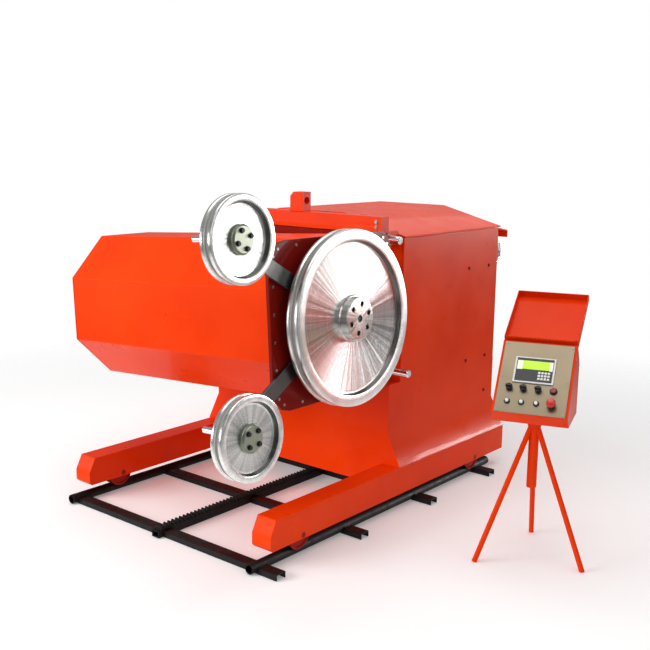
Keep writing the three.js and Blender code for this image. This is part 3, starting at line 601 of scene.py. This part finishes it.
def build_travel_motor_fins():
    """Cooling rings round the travel motor's outer end."""
    pinion = joint_place("pinion_turn")
    axis_z = pinion.z + 0.030
    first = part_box("travel_gearmotor")[1].x - 0.170
    pitch, thick = 0.018, 0.006
    inner, outer = 0.050, 0.063
    fins = bmesh.new()
    for i in range(9):
        x = first + i * pitch
        turned(fins, [(x, inner), (x, outer), (x + thick, outer), (x + thick, inner)], 40)
    placed = Matrix.Translation((0, pinion.y, axis_z))
    finished(piece_from("travel_motor_fins", fins, placed), "chassis", "motor_grey")


# ---- cabinet
def build_side_panel_bolts():
    """Four bolts up the back of each side panel, and one on the pedestal below it."""
    low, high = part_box("side_panel_right")
    pedestal_side, pedestal_back = 0.618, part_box("pedestal")[1].y
    places = []
    for sign in (1, -1):
        for y, z in ((0.675, 0.705), (0.90, 0.705), (0.675, 0.005), (0.895, 0.005)):
            spot = (sign * high.x, low.y + y * (high.y - low.y), low.z + 0.01 + z * (high.z - low.z))
            places.append((spot, (sign, 0, 0)))
        places.append(((sign * pedestal_side, pedestal_back - 0.095, 0.455), (sign, 0, 0)))
    bolts("side_panel_bolts", "chassis", places, 0.0085, "dark_red_paint")


def build_seam_fillers():
    """Flush strips that close the seam between the side panels and the pedestal's shelf."""
    panel_low, panel_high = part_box("side_panel_right")
    shelf_low, shelf_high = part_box("pedestal")
    seam = (panel_low.z + shelf_high.z) / 2
    section = ((0.0002, -0.0125), (0.0003, -0.0080), (0.0003, 0.0080), (0.0002, 0.0125),
               (-0.0030, 0.0040), (-0.0030, -0.0040))
    for name, sign in (("left", -1), ("right", 1)):
        outline = [(sign * (panel_high.x + out), seam + rise) for out, rise in section]
        filler = bmesh.new()
        skin(filler, [[filler.verts.new((x, y, z)) for x, z in outline]
                      for y in (shelf_low.y + 0.004, shelf_high.y - 0.004)])
        finished(piece_from(f"shelf_seam_filler_{name}", filler), "chassis", "orange_paint")


def build_door_hinges():
    """Three hinges of three knuckles each, down the door's left edge."""
    low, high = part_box("rear_door")
    hinges = bmesh.new()
    for share in (0.16, 0.5, 0.84):
        foot = low.z + share * (high.z - low.z) - 0.045
        for i in range(3):
            prism(hinges, circle(0.0085, 20), 0, 0.029,
                  upright(low.x - 0.001, high.y + 0.004, foot + i * 0.031), 0.001)
    finished(piece_from("door_hinge_barrels", hinges), "chassis", "dark_steel")


def build_louvres(name, share):
    """Six pressed louvres across the door: short half-round hoods, at a share of its height."""
    low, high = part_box("rear_door")
    width, pitch, depth, rise = 0.52, 0.021, 0.009, 0.013
    builder = bmesh.new()
    for row in range(6):
        foot = row * pitch
        outline = []
        for i in range(9):
            angle = pi / 2 * i / 8
            outline.append((foot + rise * sin(angle), depth * cos(angle)))
        outline += [(foot + 0.011, 0.0), (foot, 0.007)]
        prism(builder, outline, -width / 2, width / 2)
    place = ((low.x + high.x) / 2, high.y, low.z + share * (high.z - low.z))
    placed = Matrix.Translation(place) @ Matrix.Rotation(radians(-90), 4, "X")
    finished(piece_from(f"door_louvres_{name}", builder, placed), "door", "orange_paint")


def build_door_rim():
    """The folded rim round the door's outer face."""
    low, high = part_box("rear_door")
    rim = 0.012
    bars = bmesh.new()
    for x0, x1, z0, z1 in ((low.x, high.x, low.z, low.z + rim), (low.x, high.x, high.z - rim, high.z),
                           (low.x, low.x + rim, low.z + rim, high.z - rim),
                           (high.x - rim, high.x, low.z + rim, high.z - rim)):
        block(bars, (x0, high.y - 0.0005, z0), (x1, high.y + 0.005, z1))
    finished(piece_from("rear_door_folded_rim", bars), "door", "orange_paint")


def build_rear_hook():
    """A round-bar hook on a flat plate, on the cabinet's back under the rear hood's right end."""
    low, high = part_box("rear_hood")
    half_width, foot, top = 0.016, 1.185, 1.330
    x, y = high.x - half_width, low.y
    hook = bmesh.new()
    block(hook, (x - half_width, y, foot), (x + half_width, y + 0.006, top))
    ring = [Vector((x, y + out, z)) for out, z in (
        (0.010, 1.318), (0.040, 1.300), (0.052, 1.262), (0.050, 1.225), (0.032, 1.198), (0.008, 1.196))]
    for first, second in zip(ring, ring[1:]):
        prism(hook, circle(0.0085, 16), -0.001, (second - first).length + 0.001,
              along_x(first, second - first))
    finished(piece_from("rear_tie_hook", hook), "chassis", "chrome")


def build_cabinet():
    for node in ("cabinet_front", "side_panel_left", "side_panel_right", "cabinet_rear", "roof",
                 "rear_hood", "rear_door"):
        refined(node, 0.0035 if node.startswith("side") else 0.003)
    refined("door_latch", 0.004, "chrome", 3, 40)
    build_side_panel_bolts()
    build_seam_fillers()
    build_door_hinges()
    build_louvres("upper", 0.74)
    build_louvres("lower", 0.12)
    build_door_rim()
    build_rear_hook()


# ---- side-shift slide
def axis_of(rod):
    """A frame whose X axis runs along a rod's middle, with X = 0 at the scene's own."""
    low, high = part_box(rod)
    return Matrix.Translation((0, (low.y + high.y) / 2, (low.z + high.z) / 2))


def rod_on_x(node, material, thread_pitch=None):
    """A round bar along X that stands for a CAD bar, with a screw thread if a pitch is given."""
    low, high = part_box(node)
    radius = (high.z - low.z) / 2
    root = radius - 0.0022
    chamfer, plain_end = 0.004, 0.03
    profile = [(low.x, 0), (low.x, radius - chamfer), (low.x + chamfer, radius)]
    if thread_pitch:
        x = low.x + plain_end
        while x < high.x - plain_end:
            profile += [(x, radius), (x + thread_pitch * 0.35, root), (x + thread_pitch * 0.55, root),
                        (x + thread_pitch * 0.9, radius)]
            x += thread_pitch
    profile += [(high.x - chamfer, radius), (high.x, radius - chamfer), (high.x, 0)]
    turned_stand_in(node, axis_of(node), profile, 40, material)


def build_rod_collars():
    """A clamp collar inside each end of both guide rods."""
    near, far = 0.5835, 0.5995
    bore, outer = 0.0205, 0.030
    collars = bmesh.new()
    for node in ("guide_rod_upper", "guide_rod_lower"):
        for sign in (-1, 1):
            turned(collars, [(sign * near, bore), (sign * near, outer), (sign * far, outer - 0.001),
                             (sign * far, bore)], 40, axis_of(node))
    finished(piece_from("guide_rod_collars", collars), "chassis", "dark_steel")


def build_slide():
    refined("slide_beam", 0.004, segments=3, degrees=30)
    rod_on_x("guide_rod_upper", "chrome")
    rod_on_x("guide_rod_lower", "chrome")
    rod_on_x("shift_screw", "machined_steel", 0.008)
    refined("carriage", 0.003, degrees=35)
    refined("shift_gearmotor", 0.004, degrees=35)
    for node in ("slewing_ring_outer", "slewing_ring_inner"):
        refined(node, 0.0025, "machined_steel", 2, 35)

    low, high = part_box("slide_beam")
    face_y = low.y + 0.0125
    rod_z = axis_of("guide_rod_upper").translation.z
    places = [((x, face_y, rod_z + rise), (0, -1, 0))
              for x in (0.030 - high.x, high.x - 0.030) for rise in (0.085, 0.060)]
    bolts("slide_beam_bolts", "chassis", places, 0.010)
    build_rod_collars()
    ring_low, ring_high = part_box("slewing_ring_outer")
    middle = (ring_low + ring_high) / 2
    spots = circle(0.262, 24, centre=(middle.x, middle.z))
    places = [((x, ring_low.y, z), (0, -1, 0)) for x, z in spots]
    bolts("slewing_ring_bolts", "carriage", places, 0.006)
    lug_z = high.z - 0.099
    bead("lug_weld", "chassis", (-0.0125, low.y + 0.012, lug_z), (0.0785, low.y + 0.012, lug_z), 0.004)


# ---- swivelling head
def flange_bolt_spots(half_y, half_z):
    """Where the flange plate's bolts are: round its corners and along its edges."""
    corner, inset = 0.100, 0.026
    reach = corner - inset
    spots = []
    for sign_y in (-1, 1):
        for sign_z in (-1, 1):
            for angle in (radians(28), radians(62)):
                spots.append((sign_y * (half_y - corner + reach * cos(angle)),
                              sign_z * (half_z - corner + reach * sin(angle))))
        spots += [(sign_y * (half_y - inset), z) for z in (-0.18, -0.06, 0.06, 0.18)]
    for sign_z in (-1, 1):
        spots += [(y, sign_z * (half_z - inset)) for y in (-0.255, -0.085, 0.085, 0.255)]
    return spots


def cover_screw_spots(half):
    """Three screws along each of the eight edges of the end cover."""
    edge, flat = half - 0.022, 0.118
    slant = (edge + flat) / 2 - 0.010
    spots = []
    for sign in (1, -1):
        for share in (-0.75, 0.0, 0.75):
            along = share * 0.090
            spots += [(sign * edge, share * flat), (share * flat, sign * edge),
                      (sign * (slant + along), sign * (slant - along)),
                      (sign * (slant + along), -sign * (slant - along))]
    return spots


def build_drip_lip(front_y):
    """A short folded lip on the housing's front face."""
    middle, z, half_length = -0.115, 0.012, 0.055
    lip = bmesh.new()
    for out, z0, z1 in ((0.0035, z - 0.004, z), (0.0012, z, z + 0.006)):
        block(lip, (middle - half_length, front_y - out, z0), (middle + half_length, front_y + 0.001, z1))
    finished(piece_from("housing_drip_lip", lip, HEAD), "head", "orange_paint")


def build_head():
    refined("housing_shell", 0.004, segments=3)
    refined("housing_end_cover", 0.004)
    refined("flange_plate", 0.003, degrees=50)
    plate = local_box("flange_plate", HEAD)[1]
    sunk = plate.x - 0.0042  # the lower arm swings 2 mm in front of the plate
    bolts("flange_plate_bolts", "head", on_face(HEAD, sunk, flange_bolt_spots(plate.y, plate.z)), 0.0075)

    low, high = local_box("spindle_housing", HEAD)
    bore, outer, chamfer = 0.060, high.y, 0.003
    turned_stand_in("spindle_housing", HEAD, [
        (low.x, bore), (low.x, outer), (high.x - chamfer, outer), (high.x, outer - chamfer),
        (high.x, bore)], 96, "dark_steel")

    cover_low, cover_high = local_box("housing_end_cover", HEAD)
    bolts("end_cover_screws", "head",
          on_face(HEAD, cover_low.x, cover_screw_spots(cover_high.y), -1), 0.0065)
    front_y = -cover_high.y
    build_drip_lip(front_y)
    flange_x = local_box("housing_shell", HEAD)[1].x - 0.030
    places = [(HEAD @ Vector((flange_x, front_y, z)), (0, -1, 0)) for z in (-0.12, 0.012, 0.13)]
    bolts("housing_flange_bolts", "head", places, 0.006, "dark_steel")


# ---- flywheel, arms and pulleys
def wheel_profile(middle, half, radius, rim, wall, webs, eye, groove):
    """A dished wheel: a grooved rim, a deep inner wall and a nearly flat web round its eye.

    `webs` says how far the web reaches behind the middle and in front of it.
    """
    inner = radius - rim
    rim_line = [(0.006, radius - groove), (0.011, radius - 0.002), (0.014, radius),
                (half - 0.004, radius), (half - 0.0012, radius - 0.0012), (half, radius - 0.004),
                (half, inner + 0.006), (half - 0.0015, inner + 0.002), (half - 0.006, inner),
                (half - wall + 0.006, inner - 0.003), (half - wall + 0.0015, inner - 0.006),
                (half - wall, inner - 0.014)]
    back, front = [rim_line + [(web, eye + 0.07), (web, eye)] for web in webs]
    return [(middle - x, r) for x, r in back[::-1]] + [(middle + x, r) for x, r in front]


def add_liner(wheel_node, placed, middle, radius, groove):
    """The rubber band that lines a rim's groove."""
    foot = radius - groove
    half = [(0.0055, foot), (0.0085, radius - 0.008), (0.004, foot + 0.008)]
    profile = [(middle - x, r) for x, r in half] + [(middle + x, r) for x, r in half[::-1]]
    finished(lathe(f"{wheel_node}_liner", placed, profile, 144), BODY_OF[wheel_node], "liner_rubber")


def polish_rim(wheel, web_edge):
    """Gives a wheel's rim its finer finish, and the walls that face its axis a near-black copy of the rim steel
    that paints the shade inside the dish.
    """
    for finish in ("rim_steel", "painted_shade_wall_steel"):
        wheel.data.materials.append(MATERIALS[finish])
    for face in wheel.data.polygons:
        centre = Vector((0, face.center.y, face.center.z))
        if centre.length > web_edge:
            # Faces turned to the axis, inside the dish, get the painted shade.
            faces_axis = face.normal.dot(centre.normalized()) < -0.8
            face.material_index = 2 if faces_axis else 1


def build_disc(node, placed, segments, material, rim, wall, webs, eye, groove, web_edge):
    """The flywheel or a guide pulley, with its liner. Returns its middle along the axis."""
    low, high = local_box(node, placed)
    radius, middle = high.y, (low.x + high.x) / 2
    profile = wheel_profile(middle, high.x - middle, radius, rim, wall, webs, eye, groove)
    wheel = turned_stand_in(node, placed, profile, segments, material)
    polish_rim(wheel, radius - web_edge)
    add_liner(node, placed, middle, radius, groove)
    return middle


def build_flywheel_hub():
    """The hub's stepped flange and boss, six sunk socket screws and a plug in its nose."""
    low, high = local_box("flywheel_hub", HEAD)
    foot, nose = low.x, high.x - 0.010
    flange, boss = 0.1075, 0.098
    screw_circle, hole_radius, hole_depth = 0.066, 0.0125, 0.018
    hub = lathe("flywheel_hub_turned", HEAD, [
        (foot, 0), (foot, flange - 0.0035), (foot + 0.003, flange), (foot + 0.010, flange),
        (foot + 0.013, flange - 0.0035), (foot + 0.014, boss), (nose - 0.008, boss),
        (nose - 0.003, boss - 0.0012), (nose, boss - 0.006), (nose, 0.018),
        (nose - 0.002, 0.016), (nose - 0.012, 0.016), (nose - 0.012, 0)], 120)
    spots = circle(screw_circle, 6, radians(17))
    holes = bmesh.new()
    for spot in spots:
        prism(holes, circle(hole_radius, 28, centre=spot), nose - hole_depth, nose + 0.02)
    cut_away(hub, holes)
    evenly_shaded(hub, 35)
    stand_in(hub, "flywheel_hub", "hub_steel")
    bolts("flywheel_hub_screws", "flywheel", on_face(HEAD, nose - hole_depth + 0.0002, spots), 0.0100,
          "dark_steel", head=SOCKET_HEAD)
    plug = lathe("flywheel_hub_centre_plug", HEAD, [
        (nose - 0.013, 0), (nose - 0.013, 0.0155), (nose - 0.006, 0.0155), (nose - 0.005, 0.0145),
        (nose - 0.005, 0)], 48)
    finished(plug, "flywheel", "dark_steel")


def build_flywheel():
    build_disc("flywheel", HEAD, 220, "polished_steel", rim=0.052, wall=0.024, webs=(0.012, 0.013),
               eye=0.050, groove=0.022, web_edge=0.067)
    build_flywheel_hub()


def build_axle(level, placed, cap_face):
    """A guide pulley's axle, ending just inside its bearing cap, with a nut behind the arm."""
    node = f"guide_axle_{level}"
    low, high = local_box(node, placed)
    radius, end = high.y, cap_face - 0.004
    turned_stand_in(node, placed, [
        (low.x, 0), (low.x, radius - 0.003), (low.x + 0.003, radius), (end - 0.002, radius),
        (end, radius - 0.002), (end, 0)], 48, "chrome")
    arm_back = local_box(f"guide_arm_{level}", placed)[0].x
    nut = bmesh.new()
    prism(nut, circle(0.026, 6), arm_back - 0.022, arm_back - 0.001, None, 0.002)
    turned(nut, [(arm_back - 0.060, 0.0152), (arm_back - 0.060, 0.021),
                 (arm_back - 0.048, 0.021), (arm_back - 0.048, 0.0152)], 32)
    finished(piece_from(f"{node}_nut", nut, placed), f"arm_{level}", "dark_steel")


def build_bearing_cap(level, placed, web, cap_face, turn):
    """The cap over a pulley's bearing, held by four socket screws."""
    node = f"guide_pulley_{level}"
    cap = lathe(f"{node}_cap", placed, [
        (web, 0.050), (web, 0.061), (web + 0.010, 0.0615), (web + 0.012, 0.058),
        (cap_face - 0.003, 0.056), (cap_face, 0.053), (cap_face, 0), (cap_face - 0.002, 0),
        (cap_face - 0.002, 0.030), (web + 0.002, 0.034)], 96)
    finished(cap, BODY_OF[node], "bearing_cap")
    bolts(f"{node}_screws", BODY_OF[node], on_face(placed, cap_face, circle(0.039, 4, radians(turn))),
          0.0105, "dark_steel", head=SOCKET_HEAD)


def build_guide(level, screw_turn):
    """An arm, its axle, its pulley and the pulley's bearing cap."""
    refined(f"guide_arm_{level}", 0.0025, "arm_steel", 2, 35)
    node = f"guide_pulley_{level}"
    placed = HEAD.copy()
    placed.translation = joint_place(f"pulley_{level}_spin")
    cap_face = local_box(node, placed)[1].x + 0.002
    build_axle(level, placed, cap_face)
    middle = build_disc(node, placed, 160, "pulley_steel", rim=0.031, wall=0.022, webs=(0.010, 0.011),
                        eye=0.0155, groove=0.020, web_edge=0.046)
    build_bearing_cap(level, placed, middle + 0.0115, cap_face, screw_turn)


def build_arm_clamp_collar():
    end = local_box("spindle_housing", HEAD)[1].x
    collar = bmesh.new()
    turned(collar, [(end - 0.010, 0.0885), (end - 0.010, 0.118), (end - 0.001, 0.116),
                    (end - 0.001, 0.0885)], 72)
    finished(piece_from("arm_clamp_collar", collar, HEAD), "head", "dark_steel")


# ---- control console
def on_panel(node):
    """A frame on the panel's face under a control's middle, its X axis pointing out of the panel."""
    low, high = local_box(node, PANEL)
    middle = (low + high) / 2
    return along_x(PANEL @ Vector((middle.x, middle.y, 0)), PANEL_OUT)


def turned_control(node, ending, profile, material):
    """A turned control that stands for a CAD one."""
    stand_in(lathe(f"{node}_{ending}", on_panel(node), profile, 48), node, material)


def build_knob(node):
    """A selector knob: a fluted skirt and a bar to turn it by."""
    radius, flute = 0.0148, 0.0008
    outline = []
    for i, (y, z) in enumerate(circle(1.0, 48)):
        reach = radius - flute * (1.0, 0.5, 0.0, 0.5)[i % 4]
        outline.append((reach * y, reach * z))
    knob = bmesh.new()
    prism(knob, outline, 0.0004, 0.0195, None, 0.002)
    block(knob, (0.015, -radius, -0.0042), (0.028, radius, 0.0042), None, 0.0015)
    piece = piece_from(f"{node}_moulded", knob, on_panel(node), 40)
    bevelled(piece, 0.0006, 1, 40)
    stand_in(piece, node)


def build_button_rims():
    """A guard ring round each push button, with room for the button to sink into."""
    foot, top = 0.0002, 0.0046
    rims = bmesh.new()
    for node, bore in (("push_button_1", 0.0095), ("push_button_2", 0.0095), ("push_button_3", 0.0095),
                       ("stop_button", 0.0130), ("emergency_stop", 0.0105)):
        wide = bore + 0.0045
        turned(rims, [(foot, bore), (foot, wide), (0.0030, wide - 0.0005), (top, wide - 0.0018),
                      (top, bore)], 48, on_panel(node))
    finished(piece_from("button_rims", rims), "track", "black_plastic")


def build_controls():
    for i in (1, 2, 3):
        build_knob(f"selector_knob_{i}")
        turned_control(f"push_button_{i}", "cap", [
            (0.0052, 0), (0.0052, 0.0078), (0.0125, 0.0078), (0.0142, 0.0066), (0.0145, 0)],
            "white_plastic")
    build_button_rims()
    turned_control("stop_button", "cap", [
        (0.0052, 0), (0.0052, 0.0122), (0.0130, 0.0122), (0.0146, 0.0105), (0.0148, 0)],
        "dull_red_plastic")
    turned_control("emergency_stop", "mushroom", [
        (0.0052, 0), (0.0052, 0.0090), (0.0190, 0.0090), (0.0200, 0.0205), (0.0240, 0.0215),
        (0.0300, 0.0205), (0.0340, 0.0170), (0.0362, 0.0100), (0.0368, 0)], "red_plastic")


def display_part(name, blocks, material, edge=0.0006, segments=2):
    """Rounded blocks on the display, each (x0, y0, x1, y1, z0, z1).

    X and Y are shares of the display's width and height, and Z is metres out of the panel.
    """
    low, high = local_box("console_display", PANEL)
    width, height = high.x - low.x, high.y - low.y
    builder = bmesh.new()
    for x0, y0, x1, y1, z0, z1 in blocks:
        block(builder, (low.x + x0 * width, low.y + y0 * height, z0),
              (low.x + x1 * width, low.y + y1 * height, z1))
    piece = piece_from(name, builder, PANEL)
    bevelled(piece, edge, segments)
    return finished(piece, "track", material)


def build_display():
    bezel = display_part("display_bezel", [(0, 0, 1, 1, 0.0003, 0.0070)], "white_plastic", 0.002)
    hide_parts("console_display")
    display_part("display_glass", [(0.045, 0.055, 0.955, 0.955, 0.0065, 0.0078)], "screen")
    display_part("display_band_green", [(0.20, 0.52, 0.86, 0.85, 0.0072, 0.0083)], "display_band")
    display_part("display_band_left", [(0.065, 0.50, 0.20, 0.85, 0.0072, 0.0082)], "display_white")
    display_part("display_band_right", [(0.86, 0.50, 0.94, 0.85, 0.0072, 0.0082)], "display_white")
    corners = [(0.60 + 0.078 * column, 0.14 + 0.115 * row) for column in range(4) for row in range(3)]
    display_part("display_keys", [(x, y, x + 0.060, y + 0.080, 0.0070, 0.0088) for x, y in corners],
                 "white_plastic", 0.0005, 1)


def build_lid_hinge():
    """The lid's hinge: nine knuckles along the fold."""
    half, count = 0.150, 9
    pitch = 2 * half / count
    placed = along_x(joint_place("lid_fold"), CONSOLE_X)
    knuckles = bmesh.new()
    for i in range(count):
        x = -half + i * pitch
        prism(knuckles, circle(0.0045, 20), x, x + pitch - 0.0012, placed)
    finished(piece_from("lid_hinge", knuckles), "track", "orange_paint")


def build_post_fittings():
    """A collar where the tripod's legs meet its post, and a cable gland under the box.

    The post stands under the middle of the top plate, the highest flat of the tripod's node.
    """
    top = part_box("console_tripod")[1].z
    corners = [v.co for v in frame["nodes"]["console_tripod"].data.vertices]
    low, high = extent([c for c in corners if c.z > top - 0.0005])
    post = (low + high) / 2
    legs, bore = top - 0.020, 0.0225
    collar = bmesh.new()
    turned(collar, [(legs - 0.020, bore), (legs - 0.020, 0.030), (legs + 0.008, 0.034),
                    (legs + 0.010, bore)], 40)
    finished(piece_from("tripod_collar", collar, upright(post.x, post.y, 0)), "track", "orange_paint")
    gland = bmesh.new()
    turned(gland, [(-0.030, 0), (-0.030, 0.009), (-0.028, 0.011), (-0.016, 0.012), (-0.014, 0.015),
                   (0.001, 0.015), (0.001, 0)], 32)
    spot = post + CONSOLE_X * 0.090 + Vector((0, 0, 1)).cross(CONSOLE_X) * 0.045
    placed = upright(spot.x, spot.y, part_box("console_box")[0].z)
    finished(piece_from("cable_gland", gland, placed), "track", "black_plastic")


def build_console():
    refined("console_box", 0.0035, segments=3)
    refined("console_panel", 0.0006, segments=1, degrees=40)
    refined("console_lid", 0.0015)
    refined("console_tripod", 0.0010, segments=1, degrees=50)
    build_display()
    build_controls()
    low, high = local_box("console_panel", PANEL)
    inset = 0.010
    places = [(PANEL @ Vector((x, y, 0)), PANEL_OUT)
              for x in (low.x + inset, high.x - inset)
              for y in (low.y + inset, (low.y + high.y) / 2, high.y - inset)]
    bolts("console_panel_screws", "track", places, 0.0035, "bolt_steel")
    build_lid_hinge()
    build_post_fittings()


# ---- floor, lights and camera
def build_floor():
    """A pale matt floor that fades out far from the machine."""
    bpy.ops.mesh.primitive_plane_add(size=60, location=(0, 0, -0.001))
    floor = bpy.context.object
    floor.name = "floor"
    tree, bsdf = shader("pale_floor")
    fill(tree, bsdf, {"Base Color": (0.90, 0.90, 0.90, 1), "Roughness": 0.9, "Specular IOR Level": 0.1,
                      "Emission Color": (1, 1, 1, 1), "Emission Strength": 0.18})
    distance = vector_math(tree, "DISTANCE", object_coordinates(tree), (0.3, 0.3, 0))
    fade = mapped(tree, distance, 2.0, 4.6, 0.0, 1.0)
    clear = add_node(tree, "ShaderNodeBsdfTransparent")
    mix = add_node(tree, "ShaderNodeMixShader", inputs={0: fade, 1: bsdf.outputs[0], 2: clear.outputs[0]})
    fill(tree, tree.nodes["Material Output"], {"Surface": mix.outputs[0]})
    painted(floor, "pale_floor")


def soft_light(name, place, target, size, watts, diffuse=True, glossy=True):
    data = bpy.data.lights.new(name, "AREA")
    data.shape = "RECTANGLE"
    data.size, data.size_y = size
    data.energy = watts
    lamp = in_scene(name, data)
    lamp.location = place
    lamp.rotation_euler = (Vector(target) - Vector(place)).to_track_quat("-Z", "Y").to_euler()
    lamp.visible_diffuse = diffuse
    lamp.visible_glossy = glossy


def build_lights():
    """A big soft key, a fill, an overhead bank, and four cards that only gloss and steel show."""
    soft_light("key_from_the_front", (-3.0, -5.8, 2.7), (0, 0, 0.7), (4.2, 3.2), 350, glossy=False)
    soft_light("fill_from_the_right", (6.5, -1.0, 3.2), (0.3, 0.3, 0.9), (3.0, 3.0), 46)
    soft_light("overhead", (0.2, 0.2, 6.0), (0.2, 0.2, 0), (6.0, 6.0), 205)
    soft_light("card_behind_left", (-2.8, 6.0, 4.0), (0.2, 0.9, 1.3), (4.5, 2.8), 28, diffuse=False)
    soft_light("card_behind", (3.6, 5.8, 1.55), (0.7, 0.9, 0.3), (1.6, 0.8), 200, diffuse=False)
    soft_light("card_behind_right", (5.9, 5.4, 2.0), (0.7, 0.0, 1.2), (2.2, 1.8), 85, diffuse=False)
    soft_light("card_in_front_left", (-4.6, -5.4, 1.5), (0.7, -0.4, 1.1), (4.0, 1.9), 85, diffuse=False)


def build_surround():
    """A white backdrop behind everything, and a dimmer room, lighter above, that lights the machine."""
    world = bpy.data.worlds.new("studio")
    bpy.context.scene.world = world
    world.use_nodes = True
    tree = world.node_tree
    tree.nodes.clear()
    direction = add_node(tree, "ShaderNodeTexCoord").outputs["Generated"]
    level = mapped(tree, height_of(tree, direction), -0.2, 0.8, 0.28, 0.40)
    room = add_node(tree, "ShaderNodeBackground", inputs={"Strength": level})
    backdrop = add_node(tree, "ShaderNodeBackground", inputs={"Color": (1, 1, 1, 1)})
    seen = add_node(tree, "ShaderNodeLightPath").outputs["Is Camera Ray"]
    mix = add_node(tree, "ShaderNodeMixShader", inputs={
        0: seen, 1: room.outputs[0], 2: backdrop.outputs[0]})
    add_node(tree, "ShaderNodeOutputWorld", inputs={"Surface": mix.outputs[0]})


def build_camera():
    """Eye height of a standing person, in front of the machine and to its right."""
    data = bpy.data.cameras.new("camera")
    data.sensor_width = 36
    data.lens = 53.945
    data.shift_x = 0.0012
    data.shift_y = -0.0029
    camera = in_scene("camera", data)
    yaw, pitch, roll = radians(39.52), radians(-10.56), radians(0.77)
    level = radians(90)
    camera.matrix_world = (
        Matrix.Translation((3.4249, -3.5402, 1.8727)) @ Matrix.Rotation(yaw, 4, "Z")
        @ Matrix.Rotation(level + pitch, 4, "X") @ Matrix.Rotation(roll, 4, "Z"))
    bpy.context.scene.camera = camera


def set_view():
    view = bpy.context.scene.view_settings
    view.view_transform = "Standard"
    view.look = "None"


def paint_remaining_nodes():
    """The CAD nodes that show as they are, and only need a better material."""
    for node in ("floor_plate", "main_motor", "spindle"):
        painted(frame["nodes"][node], SLOT_OF[node])


build_camera()
build_floor()
build_lights()
build_surround()
set_view()
build_rail("left")
build_rail("right")
build_rack_rail()
for tie_number in range(1, 5):
    build_tie(tie_number)
for side in ("left", "right"):
    refined(f"beam_{side}", 0.007, segments=3)
    build_wheel(f"wheel_front_{side}")
    build_wheel(f"wheel_rear_{side}")
build_pedestal()
build_travel_motor_fins()
build_cabinet()
build_slide()
build_head()
build_flywheel()
build_guide("upper", 20)
build_guide("lower", 48)
build_arm_clamp_collar()
build_console()
paint_remaining_nodes()
